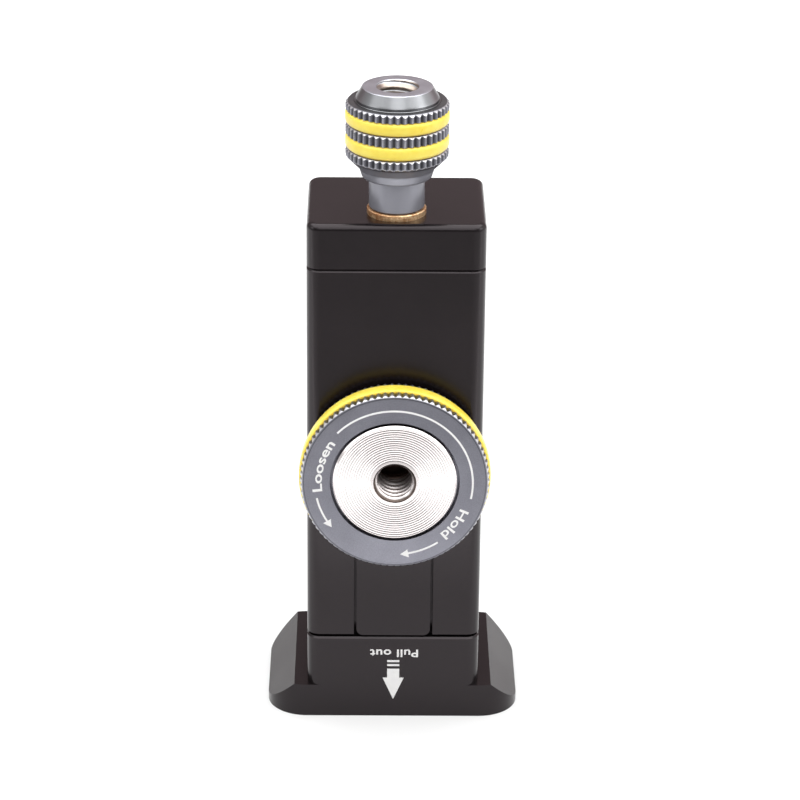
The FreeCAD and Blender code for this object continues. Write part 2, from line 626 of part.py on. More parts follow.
def make_back_pad():
    """Rubber sheet on the back of the housing, with rounded corners."""
    pad = box("back_pad_sheet", ("-pad_half", "pad_half"), ("back - pad_sink", "pad_front - pad_sink"),
              ("back_pad_bottom", "back_pad_top"))
    grooves = []
    count = 6
    for k in range(1, count):
        middle = "back_pad_bottom + (back_pad_top - back_pad_bottom) * %d / %d" % (k, count)
        grooves.append(box("back_pad_groove_%d" % k, ("-pad_half - overrun", "pad_half + overrun"),
                           ("pad_front - pad_sink - rib_height", "pad_front + overrun"),
                           ("%s - rib_height" % middle, "%s + rib_height" % middle)))
    return cut("back_pad", pad, grooves)


def make_cap_screws():
    return group("top_jaw_screws", mirrored_pair("cap_screw", lambda name, x: countersunk_screw(
        name, x, "head_middle", "cavity_top", "cap_screw_end", "cap_screw_radius", "cap_head_radius"),
        "cap_screw_spread"))


def make_seat_pins():
    return group("spring_seat_pins", mirrored_pair("spring_seat_pin", lambda name, x: level_cylinder(
        name, "seat_radius", x, ("spring_middle - spring_radius / 2", "back - pad_sink"), "seat_height"),
        "jaw_screw_spread"))


def make_stop_pin():
    return level_cylinder("travel_stop_pin", "stop_radius", "0",
                          ("rail_back - stop_reach + slide_gap", "back - pad_sink"), "stop_height")


def make_tripod_socket():
    """Steel socket: flange with fine turned rings, hub for the wheel, spigot and quarter inch thread."""
    profile = [("thread_radius", "socket_face - mouth_chamfer"), ("thread_mouth", "socket_face")]
    first = "thread_mouth + face_ring_pitch"
    room = (sheet.get("spigot_wall") + sheet.get("hub_step") + sheet.get("socket_reach")
            - sheet.get("mouth_chamfer") - sheet.get("edge_chamfer"))
    for k in range(int(room / sheet.get("face_ring_pitch") - RING_SHARE)):
        start = "%s + face_ring_pitch * %d" % (first, k)
        profile.append((start, "socket_face"))
        profile.append(("%s + face_ring_pitch / 2" % start, "socket_face - face_ring_depth"))
        profile.append(("%s + face_ring_pitch * %s" % (start, RING_SHARE), "socket_face"))
    profile += [
        ("socket_radius - edge_chamfer", "socket_face"),
        ("socket_radius", "socket_face - edge_chamfer"),
        ("socket_radius", "socket_face - socket_flange"),
        ("socket_hub", "socket_face - socket_flange"),
        ("socket_hub", "0"),
        ("socket_spigot", "0"),
        ("socket_spigot", "-nut_back"),
        ("0", "-nut_back"),
        ("0", "socket_face - socket_thread"),
        ("thread_radius", "socket_face - socket_thread"),
    ]
    return toward_front(turned("tripod_socket", profile), "front", "wheel_height")


def make_socket_nut():
    """Round nut that holds the socket against the front wall, with two spanner slots."""
    ring = turned("socket_nut_ring", [("socket_spigot", "-nut_back"), ("nut_radius", "-nut_back"),
                                      ("nut_radius", "-front_wall"), ("socket_spigot", "-front_wall")])
    slots = box("socket_nut_slots", ("-nut_radius", "nut_radius"), ("-seat_radius / 2", "seat_radius / 2"),
                ("-nut_back - nut_height / 2", "-nut_back + nut_height / 2"))
    return toward_front(cut("socket_nut", ring, [slots]), "front", "wheel_height")


def make_thrust_washer():
    ring = turned("thrust_washer", [("socket_hub + hub_play", "0"), ("washer_radius", "0"),
                                    ("washer_radius", "wheel_gap - axial_play"),
                                    ("socket_hub + hub_play", "wheel_gap - axial_play")])
    return toward_front(ring, "front", "wheel_height")


# Lock wheel and brake pins
def make_lock_wheel():
    """Knurled wheel that turns on the socket's hub, with a seat for its yellow ring."""
    bore = "socket_hub + hub_play"
    dish = "socket_radius + socket_ring_gap"
    profile = [
        (bore, "wheel_gap"),
        ("wheel_radius - edge_chamfer", "wheel_gap"),
        ("wheel_radius", "wheel_gap + edge_chamfer"),
        ("wheel_radius", "ring_back"),
        ("wheel_root", "ring_back"),
        ("wheel_root", "ring_front"),
        ("wheel_radius", "ring_front"),
        ("wheel_radius", "wheel_standoff - wheel_rim_length"),
        ("wheel_radius - wheel_rim_width * %s" % ROUND_SHARE,
         "wheel_standoff - wheel_rim_length * %s" % ROUND_SHARE),
        ("wheel_radius - wheel_rim_width", "wheel_standoff"),
        (dish + " + edge_chamfer / 2", "wheel_standoff"),
        (dish, "wheel_standoff - edge_chamfer / 2"),
        (dish, "web_front"),
        (bore, "web_front"),
    ]
    blank = turned("lock_wheel_blank", profile)
    radius = sheet.get("wheel_radius")
    prism = tooth_prism("lock_wheel_teeth", radius, "wheel_teeth", radius)
    return toward_front(common("lock_wheel", blank, prism), "front", "wheel_height")


def elastic_ring(name, seat, crown, bottom, top):
    """A yellow ring that fills its groove and stands out beyond the knurl, with softened edges."""
    edge = "ring_seat / 3"
    shoulder = "%s - %s" % (crown, edge)
    return turned(name, [(seat, bottom), (shoulder, bottom), (crown, "%s + %s" % (bottom, edge)),
                         (crown, "%s - %s" % (top, edge)), (shoulder, top), (seat, top)])


def make_wheel_ring():
    ring = elastic_ring("lock_wheel_ring", "wheel_root", "wheel_radius + wheel_ring_swell",
                        "ring_back", "ring_front")
    return toward_front(ring, "front", "wheel_height")


def make_brake_pin(name, x):
    """Pin that the wheel presses through the front wall against the rail."""
    tail = "-front_wall - slide_gap + brake_gap"
    head = "wheel_gap - axial_play"
    rim = "brake_radius - edge_chamfer"
    pin = turned(name, [("0", tail), (rim, tail), ("brake_radius", tail + " + edge_chamfer"),
                        ("brake_radius", head + " - edge_chamfer"), (rim, head), ("0", head)])
    return bind(toward_front(pin, "front", "brake_height"), Placement__Base__x=x)


# Knob
def make_knob():
    """Free-turning knob: journal, stem, collar and three knurled bands with two ring grooves."""
    seat = "knob_radius - ring_seat"
    rim = "knob_radius - rim_chamfer"
    chamfer_top = "collar_top + knob_radius - edge_chamfer - collar_radius"
    clip = "journal_radius - clip_groove"
    profile = [
        ("0", "journal_end"),
        ("journal_radius - edge_chamfer", "journal_end"),
        ("journal_radius", "journal_end + edge_chamfer"),
        ("journal_radius", "clip_bottom"),
        (clip, "clip_bottom"),
        (clip, "clip_bottom + clip_height"),
        ("journal_radius", "clip_bottom + clip_height"),
        ("journal_radius", "stem_bottom + hub_play"),
        ("stem_radius - edge_chamfer", "stem_bottom + hub_play"),
        ("stem_radius", "stem_bottom + hub_play + edge_chamfer"),
        ("stem_radius", "collar_bottom"),
        ("collar_radius - collar_taper", "collar_bottom"),
        ("collar_radius", "collar_top"),
        ("knob_radius - edge_chamfer", chamfer_top),
        ("knob_radius", chamfer_top + " + edge_chamfer"),
        ("knob_radius", "lower_band_top - rim_chamfer"),
        (rim, "lower_band_top"),
        (seat, "lower_band_top"),
        (seat, "lower_ring_top"),
        ("knob_radius", "lower_ring_top"),
        ("knob_radius", "middle_band_top - rim_chamfer"),
        (rim, "middle_band_top"),
        (seat, "middle_band_top"),
        (seat, "upper_ring_top"),
        ("knob_radius", "upper_ring_top"),
        ("knob_radius", "knob_top - rim_chamfer"),
        (rim, "knob_top"),
        ("insert_flange + hub_play", "knob_top"),
        ("insert_flange + hub_play", "knob_top - edge_chamfer * 2"),
        ("insert_body", "knob_top - edge_chamfer * 2"),
        ("insert_body", "insert_bottom"),
        ("0", "insert_bottom"),
    ]
    blank = turned("knob_blank", profile)
    radius = sheet.get("insert_flange") + sheet.get("rim_width")
    prism = tooth_prism("knob_teeth_ring", radius, "knob_teeth", 2 * sheet.get("housing_top"))
    return common("knob", blank, prism)


def make_knob_ring(name, bottom, top):
    return elastic_ring(name, "knob_radius - ring_seat", "knob_radius + knob_ring_swell", bottom, top)


def make_threaded_insert():
    """Bevelled insert in the knob's top with the quarter inch accessory thread."""
    return turned("threaded_insert", [
        ("0", "insert_bottom"),
        ("insert_body", "insert_bottom"),
        ("insert_body", "knob_top - edge_chamfer * 2"),
        ("insert_flange", "knob_top - edge_chamfer * 2"),
        ("insert_flange", "knob_top + edge_chamfer / 2"),
        ("insert_neck", "knob_top + edge_chamfer / 2"),
        ("insert_neck", "insert_bevel_bottom - edge_chamfer / 2"),
        ("insert_bevel_radius", "insert_bevel_bottom"),
        ("insert_face_radius", "insert_top"),
        ("thread_mouth", "insert_top"),
        ("thread_radius", "insert_top - mouth_chamfer"),
        ("thread_radius", "insert_thread_end"),
        ("0", "insert_thread_end"),
    ])


def make_knob_bush():
    """Flanged brass bush through the top jaw and the housing's head."""
    bore = "journal_radius + hub_play"
    return turned("knob_bush", [
        (bore, "bush_bottom"),
        ("bush_radius", "bush_bottom"),
        ("bush_radius", "jaw_roof"),
        ("bush_flange", "jaw_roof"),
        ("bush_flange", "stem_bottom - edge_chamfer / 2"),
        ("bush_flange - edge_chamfer / 2", "stem_bottom"),
        (bore, "stem_bottom"),
    ])


def make_knob_washer():
    bore = "journal_radius + hub_play"
    rim = "pocket_radius - hub_play * 4"
    bottom = "washer_bottom - axial_play / 2"
    top = "bush_bottom - axial_play / 2"
    return turned("knob_washer", [(bore, bottom), (rim, bottom), (rim, top), (bore, top)])


def make_knob_clip():
    """Open retaining ring in the journal's groove."""
    rim = "pocket_radius - tongue_gap"
    bore = "journal_radius - clip_groove"
    top = "clip_bottom + clip_height"
    ring = turned("knob_clip_ring", [(bore, "clip_bottom"), (rim, "clip_bottom"), (rim, top), (bore, top)])
    mouth = box("knob_clip_mouth", ("-journal_radius / 2", "journal_radius / 2"), ("0", "pocket_radius"),
                ("clip_bottom - overrun", "clip_bottom + clip_height + overrun"))
    return cut("knob_clip", ring, [mouth])


def make_all():
    """Every sub-part of the object, each under its own label."""
    return [
        make_lower_jaw(),
        make_jaw_rail(),
        make_jaw_screws(),
        make_lower_pad(),
        make_return_spring("return_spring_left", "-jaw_screw_spread"),
        make_return_spring("return_spring_right", "jaw_screw_spread"),
        make_housing(),
        make_top_jaw(),
        make_top_pad(),
        make_back_pad(),
        make_cap_screws(),
        make_seat_pins(),
        make_stop_pin(),
        make_tripod_socket(),
        make_socket_nut(),
        make_thrust_washer(),
        make_lock_wheel(),
        make_wheel_ring(),
        make_brake_pin("brake_pin_left", "-brake_spread"),
        make_brake_pin("brake_pin_right", "brake_spread"),
        make_knob(),
        make_knob_ring("knob_ring_lower", "lower_band_top", "lower_ring_top"),
        make_knob_ring("knob_ring_upper", "middle_band_top", "upper_ring_top"),
        make_threaded_insert(),
        make_knob_bush(),
        make_knob_washer(),
        make_knob_clip(),
    ]


def check_and_write(nodes):
    """Stops on any failed object or bad shape, and writes one STEP file for each sub-part."""
    doc.recompute()
    for thing in doc.Objects:
        if "Invalid" in thing.State or "Error" in thing.State:
            raise RuntimeError("%s did not compute: %s" % (thing.Label, thing.State))
    for node in nodes:
        shape = node.Shape
        if shape.isNull() or not shape.isValid() or not shape.Solids:
            raise RuntimeError("%s has no valid solid" % node.Label)
    for node in nodes:
        shape = node.Shape
        shape.exportStep("parts/%s.step" % node.Label)
        bounds = shape.BoundBox
        print("%-20s %d solid(s) %9.2f mm3  x %.2f %.2f  y %.2f %.2f  z %.2f %.2f" % (
            node.Label, len(shape.Solids), shape.Volume, bounds.XMin, bounds.XMax, bounds.YMin, bounds.YMax,
            bounds.ZMin, bounds.ZMax))


check_and_write(make_all())
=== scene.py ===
"""Looks of a slim tripod phone clamp: finishes, rubber rings and pads, springs, threads and markings.

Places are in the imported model's own frame, with +Z up and the front toward -Y. Shapes are worked out in
millimetres and scaled when they become meshes. Lamps, room and floor are in metres.
"""
import math

import bpy
import numpy as np
from mathutils import Matrix, Vector


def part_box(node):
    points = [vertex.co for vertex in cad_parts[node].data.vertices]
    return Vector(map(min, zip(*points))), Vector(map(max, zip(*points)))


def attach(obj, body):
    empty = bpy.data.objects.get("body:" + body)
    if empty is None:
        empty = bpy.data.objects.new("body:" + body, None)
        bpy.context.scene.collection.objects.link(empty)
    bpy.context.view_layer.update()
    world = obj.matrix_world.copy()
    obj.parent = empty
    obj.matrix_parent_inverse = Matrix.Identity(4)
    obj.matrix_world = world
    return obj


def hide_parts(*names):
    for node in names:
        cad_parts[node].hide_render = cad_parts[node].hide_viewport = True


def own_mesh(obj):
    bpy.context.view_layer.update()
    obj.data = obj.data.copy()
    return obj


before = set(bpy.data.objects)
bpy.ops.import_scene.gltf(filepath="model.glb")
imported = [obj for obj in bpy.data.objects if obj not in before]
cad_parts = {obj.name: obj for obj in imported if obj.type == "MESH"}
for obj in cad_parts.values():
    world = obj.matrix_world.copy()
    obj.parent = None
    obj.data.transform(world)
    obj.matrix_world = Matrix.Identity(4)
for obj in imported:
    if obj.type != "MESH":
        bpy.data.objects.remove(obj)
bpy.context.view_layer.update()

MM = 0.001
TURN = 2 * math.pi


def extent(node):
    """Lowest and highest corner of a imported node, in millimetres."""
    low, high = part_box(node)
    return np.array(low) / MM, np.array(high) / MM


def half_width(node):
    """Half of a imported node's width, in millimetres, which is the radius of a round one."""
    low, high = extent(node)
    return (high[0] - low[0]) / 2


def heights(node):
    """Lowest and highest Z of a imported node, in millimetres."""
    return [corner[2] for corner in extent(node)]


# Short ways to add shader nodes; a value is a number, a colour or another node's socket
def feed(node, values):
    """Gives a node's inputs their values: a socket is linked, and anything else is set."""
    for label, value in values.items():
        if isinstance(value, bpy.types.NodeSocket):
            node.id_data.links.new(value, node.inputs[label])
        else:
            node.inputs[label].default_value = value


def add_source(tree, kind, **settings):
    """A shader node that nothing has to feed, such as coordinates."""
    node = tree.nodes.new("ShaderNode" + kind)
    for name, setting in settings.items():
        setattr(node, name, setting)
    return node


def add_node(kind, values, **settings):
    """A shader node in the same tree as the sockets that feed it."""
    tree = next(value.id_data for value in values.values() if isinstance(value, bpy.types.NodeSocket))
    node = add_source(tree, kind, **settings)
    feed(node, values)
    return node


def maths(operation, *values):
    """The result of a Math node."""
    return add_node("Math", dict(enumerate(values)), operation=operation).outputs[0]


def times(*values):
    """The product of two values."""
    return maths("MULTIPLY", *values)


def plus(*values):
    """The sum of two values."""
    return maths("ADD", *values)


def parts_of(vector):
    """The X, Y and Z of a vector."""
    return add_node("SeparateXYZ", {0: vector}).outputs


def map_range(value, low, high, start, stop, easing="SMOOTHSTEP"):
    """A step of a value, smooth unless the easing says otherwise: start up to low, stop from high on."""
    ends = {"Value": value, "From Min": low, "From Max": high, "To Min": start, "To Max": stop}
    return add_node("MapRange", ends, interpolation_type=easing).outputs[0]


def soft_band(value, rise, fall, level=1.0):
    """A level between two soft edges: up over the range rise, and down over the range fall."""
    return times(map_range(value, *rise, 0.0, level), map_range(value, *fall, 1.0, 0.0))


def mixed(factor, start, stop):
    """A value between two, by a socket from 0 to 1."""
    return add_node("Mix", {"Factor": factor, "A": start, "B": stop}).outputs[0]


def blend_colours(factor, dark, light):
    """A colour between two, each three numbers or a socket, by a socket from 0 to 1."""
    dark, light = ((*colour, 1.0) if isinstance(colour, tuple) else colour for colour in (dark, light))
    ends = {"Factor": factor, "A": dark, "B": light}
    return add_node("Mix", ends, data_type="RGBA").outputs["Result"]


def object_place(tree, centre=None):
    """Object coordinates, moved so that centre, in millimetres, is their zero."""
    where = add_source(tree, "TexCoord").outputs["Object"]
    if centre is None:
        return where
    shift = [-value * MM for value in centre]
    return add_node("Mapping", {"Vector": where, "Location": shift}).outputs[0]


ROUND_Y = (1.0, 0.0, 1.0)
ROUND_Z = (1.0, 1.0, 0.0)


def reach_from_axis(place, keep):
    """Distance in millimetres from an axis through zero: the length of the kept parts of the place."""
    flat = add_node("VectorMath", {0: place, 1: keep}, operation="MULTIPLY").outputs[0]
    length = add_node("VectorMath", {0: flat}, operation="LENGTH").outputs["Value"]
    return maths("DIVIDE", length, MM)


def new_material(name, metallic=0.0, roughness=0.5):
    """A material with its node tree and its Principled shader."""
    material = bpy.data.materials.new(name)
    material.use_nodes = True
    tree = material.node_tree
    shader = tree.nodes["Principled BSDF"]
    feed(shader, {"Metallic": metallic, "Roughness": roughness})
    return material, tree, shader


# Camera, in millimetres and degrees
CAMERA_PLACE = (-3.89, -437.3, 241.4)
CAMERA_PITCH = 23.61
CAMERA_YAW = 0.61
CAMERA_ROLL = -0.56
CAMERA_LENS = 144.5
SENSOR_WIDTH = 36.0
CLIP_START = 0.01


def make_camera():
    """A camera that looks down by its pitch, to the right by its yaw, and leans by its roll."""
    pitch, yaw, roll = (math.radians(angle) for angle in (CAMERA_PITCH, CAMERA_YAW, CAMERA_ROLL))
    ahead = np.array([math.sin(yaw) * math.cos(pitch), math.cos(yaw) * math.cos(pitch), -math.sin(pitch)])
    level = np.array([math.cos(yaw), -math.sin(yaw), 0.0])
    down = np.cross(ahead, level)
    right = math.cos(roll) * level + math.sin(roll) * down
    below = -math.sin(roll) * level + math.cos(roll) * down
    data = bpy.data.cameras.new("photo_camera")
    data.lens = CAMERA_LENS
    data.sensor_width = SENSOR_WIDTH
    data.clip_start = CLIP_START
    camera = bpy.data.objects.new("photo_camera", data)
    turn = Matrix([[right[k], -below[k], -ahead[k]] for k in range(3)]).to_4x4()
    turn.translation = [value * MM for value in CAMERA_PLACE]
    camera.matrix_world = turn
    bpy.context.collection.objects.link(camera)
    bpy.context.scene.camera = camera


# Softboxes: the place, the width and height, and the power
LAMP_AIM = (0.0, 0.0, 0.045)
LAMPS = {
    "lamp_above": ((0.0, 0.0, 0.65), (1.15, 0.90), 9.0),
    "lamp_front": ((0.0, -0.57, 0.50), (0.42, 0.35), 0.8),
    "lamp_left": ((-0.62, -0.20, 0.36), (0.30, 0.30), 0.5),
    "lamp_right": ((0.62, -0.20, 0.36), (0.30, 0.30), 0.9),
}


def make_softbox(name, place, size, power):
    """A rectangular lamp at a place, turned toward the middle of the object."""
    data = bpy.data.lights.new(name, "AREA")
    data.shape = "RECTANGLE"
    data.size, data.size_y = size
    data.energy = power
    lamp = bpy.data.objects.new(name, data)
    facing = (Vector(LAMP_AIM) - Vector(place)).to_track_quat("-Z", "Y").to_matrix().to_4x4()
    lamp.matrix_world = Matrix.Translation(place) @ facing
    bpy.context.collection.objects.link(lamp)


# Room: its light, how bright it is in gloss, and where that changes, by the direction looked in
AMBIENT_LEVEL = 0.41
ROOM_LEVEL = 1.05
ROOM_SLANT = 0.4
FRONT_DIM = 0.75
FRONT_ALONG = (-0.85, -0.45)
FRONT_UP = (0.38, 0.55)
BEHIND_DIM = (0.66, 0.62)
BEHIND_ALONG = (0.35, 0.8)
BEHIND_UP = (0.0, 0.34)
WARM_ALONG = (0.2, 0.7)
WHITE = (1.0, 1.0, 1.0)
WARM_WHITE = (1.0, 0.80, 0.82)


def make_room():
    """A room that is white to the camera, gives even light, and shows in gloss.

    In gloss it is white, brighter to the right than to the left, dim low in front, and dim and warm behind.
    """
    world = bpy.data.worlds.new("studio")
    world.use_nodes = True
    bpy.context.scene.world = world
    tree = world.node_tree
    across, along, up = parts_of(add_source(tree, "TexCoord").outputs["Generated"])
    front_dim = times(map_range(along, *FRONT_ALONG, FRONT_DIM, 0.0), map_range(up, *FRONT_UP, 1.0, 0.0))
    behind_dim = times(map_range(along, *BEHIND_ALONG, 0.0, 1.0), map_range(up, *BEHIND_UP, *BEHIND_DIM))
    lit = maths("SUBTRACT", maths("SUBTRACT", 1.0, front_dim), behind_dim)
    room = times(lit, plus(ROOM_LEVEL, times(across, ROOM_SLANT)))
    rays = add_source(tree, "LightPath").outputs
    mirrored = maths("MAXIMUM", rays["Is Glossy Ray"], rays["Is Transmission Ray"])
    level = mixed(mirrored, AMBIENT_LEVEL, room)
    warm = times(mirrored, map_range(along, *WARM_ALONG, 0.0, 1.0))
    feed(tree.nodes["Background"], {"Strength": mixed(rays["Is Camera Ray"], level, 1.0),
                                    "Color": blend_colours(warm, WHITE, WARM_WHITE)})


# Floor: its shade and its glow to the camera, and how bright it is in gloss, by Y and by the distance aside
FLOOR_HALF = 1.5
FLOOR_SHADE = (0.46, 0.46, 0.46, 1.0)
FLOOR_GLOW = (0.42, 1.0)
FLOOR_GLOW_REACH = (100.0, 450.0)
FLOOR_GLOSS = (0.06, 0.62)
FLOOR_GLOSS_ALONG = (-0.165, -0.035)
STRIP_GLOSS = 3.0
STRIP_EDGES = ((-0.086, -0.069), (-0.071, -0.058))
CLOSE_GLOSS = 0.28
CLOSE_EDGES = ((-0.05, -0.035), (-0.02, -0.008))
ASIDE_GLOSS = 0.25
ASIDE_EDGE = (0.03, 0.08)


def make_floor():
    """A wide plain floor, white to the camera but for a soft shadow, brighter in gloss near the object."""
    mesh = bpy.data.meshes.new("floor")
    corners = [(x * FLOOR_HALF, y * FLOOR_HALF, 0) for x, y in ((-1, -1), (1, -1), (1, 1), (-1, 1))]
    mesh.from_pydata(corners, [], [(0, 1, 2, 3)])
    floor = bpy.data.objects.new("floor", mesh)
    bpy.context.collection.objects.link(floor)
    material, tree, shader = new_material("pale_floor", roughness=0.9)
    place = object_place(tree)
    across, along = parts_of(place)[:2]
    rays = add_source(tree, "LightPath").outputs
    gloss = map_range(along, *FLOOR_GLOSS_ALONG, *FLOOR_GLOSS)
    gloss = plus(gloss, soft_band(along, *STRIP_EDGES, STRIP_GLOSS))
    gloss = plus(gloss, soft_band(along, *CLOSE_EDGES, CLOSE_GLOSS))
    aside = maths("ABSOLUTE", across)
    gloss = plus(gloss, map_range(aside, *ASIDE_EDGE, 0.0, ASIDE_GLOSS))
    shown = map_range(reach_from_axis(place, ROUND_Z), *FLOOR_GLOW_REACH, *FLOOR_GLOW)
    glow = plus(times(rays["Is Camera Ray"], shown), times(rays["Is Glossy Ray"], gloss))
    feed(shader, {"Base Color": FLOOR_SHADE, "Specular IOR Level": 0.0, "Emission Color": (*WHITE, 1.0),
                  "Emission Strength": glow})
    mesh.materials.append(material)


# Surfaces worked out on grids of points
def grid_faces(rows, columns, wrap_rows, wrap_columns):
    """Four-cornered faces of a grid whose points are counted row by row, and each corner's place on it.

    Face (i, j) joins the points (i, j), (i, j+1), (i+1, j+1) and (i+1, j); a wrapped direction joins its last
    points to its first. The places are the corners' column and row as shares from 0 to 1.
    """
    i = np.arange(rows if wrap_rows else rows - 1)[:, None]
    j = np.arange(columns if wrap_columns else columns - 1)[None, :]
    corners, places = [], []
    for down, across in ((0, 0), (0, 1), (1, 1), (1, 0)):
        corners.append((i + down) % rows * columns + (j + across) % columns)
        places.append(np.stack(np.broadcast_arrays((j + across) / columns, (i + down) / rows), axis=-1))
    return np.stack(corners, axis=-1).reshape(-1, 4), np.stack(places, axis=2).reshape(-1, 2)


def add_piece(name, points, faces, body, slot, material, places=None, cut=None, sharp=35.0):
    """A smooth-shaded object at the origin from points in millimetres, its faces turned outward.

    The attribute "cut" says how deep each point lies under the uncut surface, in millimetres. All faces are
    flipped if the sum of the products a . (b x c) over the triangles, which is the volume, is negative.
    """
    mesh = bpy.data.meshes.new(name)
    mesh.from_pydata((np.asarray(points) * MM).tolist(), [], [list(face) for face in faces])
    if places is not None:
        layer = mesh.uv_layers.new(name="turned")
        layer.data.foreach_set("uv", np.asarray(places, float).ravel())
    if cut is not None:
        mesh.attributes.new("cut", "FLOAT", "POINT").data.foreach_set("value", cut)
    mesh.calc_loop_triangles()
    triangles = np.zeros(3 * len(mesh.loop_triangles), int)
    mesh.loop_triangles.foreach_get("vertices", triangles)
    a, b, c = (np.asarray(points)[triangles.reshape(-1, 3)[:, k]] for k in range(3))
    if np.einsum("ij,ij->i", a, np.cross(b, c)).sum() < 0:
        mesh.flip_normals()
    mesh.shade_smooth()
    mesh.set_sharp_from_angle(angle=math.radians(sharp))
    mesh.materials.append(material)
    piece = bpy.data.objects.new(name, mesh)
    bpy.context.collection.objects.link(piece)
    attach(piece, body)
    return piece


def add_tube(name, points, **finish):
    """A grid of points as a tube: each row is a closed outline, and the first and last get a flat face."""
    rows, columns = points.shape[:2]
    faces = grid_faces(rows, columns, False, True)[0].tolist()
    ends = [list(range(columns))[::-1], [(rows - 1) * columns + k for k in range(columns)]]
    return add_piece(name, points.reshape(-1, 3), faces + ends, **finish)


def standing(points):
    """Points modelled along +Z, kept as they are."""
    return points


def facing_front(points):
    """Points modelled along +Z, turned so that +Z points to the front: (x, y, z) becomes (x, -z, y)."""
    return np.stack([points[..., 0], -points[..., 2], points[..., 1]], axis=-1)


def turned_grid(profile, around, aim, middle, radial):
    """Points of a profile of (radius, height) carried round an axis, and how deep each of them is cut.

    radial(angle, radius, height) changes the radius of every point, as for a thread. A point then lies at
    (r cos a, r sin a, h), aimed and moved to the middle.
    """
    whole, height = profile[:, :1], profile[:, 1:]
    angle = TURN * np.arange(around) / around
    radius = np.broadcast_to(radial(angle, whole, height), (len(profile), around))
    level = np.broadcast_to(height, radius.shape)
    points = aim(np.stack([radius * np.cos(angle), radius * np.sin(angle), level], axis=-1)) + middle
    return points.reshape(-1, 3), np.clip(whole - radius, 0, None).ravel()


def turned_solid(name, profile, around, aim, middle, radial, **finish):
    """A surface of revolution from a profile whose two ends lie on the axis.

    The two ends close as fans of triangles round one point each.
    """
    ring, cut = turned_grid(profile[1:-1], around, aim, middle, radial)
    poles = aim(np.array([[0, 0, profile[0, 1]], [0, 0, profile[-1, 1]]])) + middle
    rows = len(profile) - 2
    quads, places = grid_faces(rows, around, False, True)
    j = np.arange(around)
    after = (j + 1) % around
    last_row = (rows - 1) * around
    first = np.stack([np.full(around, rows * around), after, j], axis=-1)
    last = np.stack([np.full(around, rows * around + 1), last_row + j, last_row + after], axis=-1)
    fans = np.zeros((2 * 3 * around, 2))
    return add_piece(name, np.vstack([ring, poles]), quads.tolist() + first.tolist() + last.tolist(),
                     places=np.vstack([places, fans]), cut=np.append(cut, [0, 0]), **finish)


def turned_ring(name, section, around, aim, middle, radial, **finish):
    """A ring: a closed section carried round the axis and joined to itself."""
    points, cut = turned_grid(section, around, aim, middle, radial)
    faces, places = grid_faces(len(section), around, True, True)
    return add_piece(name, points, faces.tolist(), places=places, cut=cut, **finish)


def run(start, stop, count):
    """Evenly spaced points of a straight stretch, without its last point."""
    share = np.arange(count)[:, None] / count
    return np.asarray(start, float) * (1 - share) + np.asarray(stop, float) * share


def profile_of(*corners):
    """A profile through (radius, height, count) corners, with count points on the way to the next one."""
    parts = [run(corners[k][:2], corners[k + 1][:2], corners[k][2]) for k in range(len(corners) - 1)]
    return np.vstack(parts + [np.array([corners[-1][:2]], float)])


# Shader node groups that several finishes share
def new_group(name, inputs, outputs):
    """A shader node group: named inputs, a vector where the value is None, and named outputs, all numbers."""
    group = bpy.data.node_groups.new(name, "ShaderNodeTree")
    for label, value in inputs.items():
        kind = "NodeSocketVector" if value is None else "NodeSocketFloat"
        socket = group.interface.new_socket(label, in_out="INPUT", socket_type=kind)
        if value is not None:
            socket.default_value = value
    for label in outputs:
        group.interface.new_socket(label, in_out="OUTPUT", socket_type="NodeSocketFloat")
    return group, group.nodes.new("NodeGroupInput").outputs, group.nodes.new("NodeGroupOutput")


def noise(vector, scale, detail, roughness=0.5):
    """The value of a Noise Texture."""
    values = {"Vector": vector, "Scale": scale, "Detail": detail, "Roughness": roughness}
    return add_node("TexNoise", values).outputs[0]


def make_grain_group():
    """Fine blasted grain: noise whose bumps are Size millimetres across and Depth millimetres deep."""
    inputs = {"Vector": None, "Size": 0.25, "Depth": 0.01}
    group, given, made = new_group("blasted_grain", inputs, ("Height", "Tone"))
    fine = noise(given["Vector"], maths("DIVIDE", 1 / MM, given["Size"]), 2.0)
    feed(made, {"Height": times(fine, given["Depth"]), "Tone": maths("SUBTRACT", fine, 0.5)})
    return group


def make_patch_group(name, detail, roughness, low, high):
    """Patches Size millimetres across: noise whose range from low to high becomes a mask from 0 to 1."""
    group, given, made = new_group(name, {"Vector": None, "Size": 1.0}, ("Mask",))
    scale = maths("DIVIDE", 1 / MM, given["Size"])
    patches = noise(given["Vector"], scale, detail, roughness)
    feed(made, {"Mask": map_range(patches, low, high, 0.0, 1.0, "LINEAR")})
    return group


def make_lines_group():
    """Fine turning lines: a sine of the place Along over Pitch, in millimetres, uneven by a little noise."""
    inputs = {"Along": 0.0, "Pitch": 0.1, "Depth": 0.002}
    group, given, made = new_group("turning_lines", inputs, ("Height", "Tone"))
    wave = maths("SINE", times(maths("DIVIDE", given["Along"], given["Pitch"]), TURN))
    uneven = noise(add_node("CombineXYZ", {0: given["Along"]}).outputs[0], 3.0, 1.0)
    shaped = times(wave, plus(uneven, 0.3))
    feed(made, {"Height": times(shaped, given["Depth"]), "Tone": shaped})
    return group


GRAIN = make_grain_group()
LINES = make_lines_group()

# Broad faint smears from handling, and the sharp-edged mottling of worn brass
HANDLING = make_patch_group("handling", detail=4.0, roughness=0.6, low=3 / 11, high=8 / 11)
MOTTLE = make_patch_group("mottle", detail=5.0, roughness=0.7, low=0.38, high=0.62)


# Sizes that finishes and pieces share: the quarter inch thread, the knurled teeth, the insert's top face
THREAD_PITCH = 1.27
THREAD_CREST = 2.55
THREAD_MOUTH = 3.15
THREAD_DEPTH = 0.58
THREAD_FADE = 0.6
TOOTH_DEPTH = 0.32
INSERT_FACE = 5.1

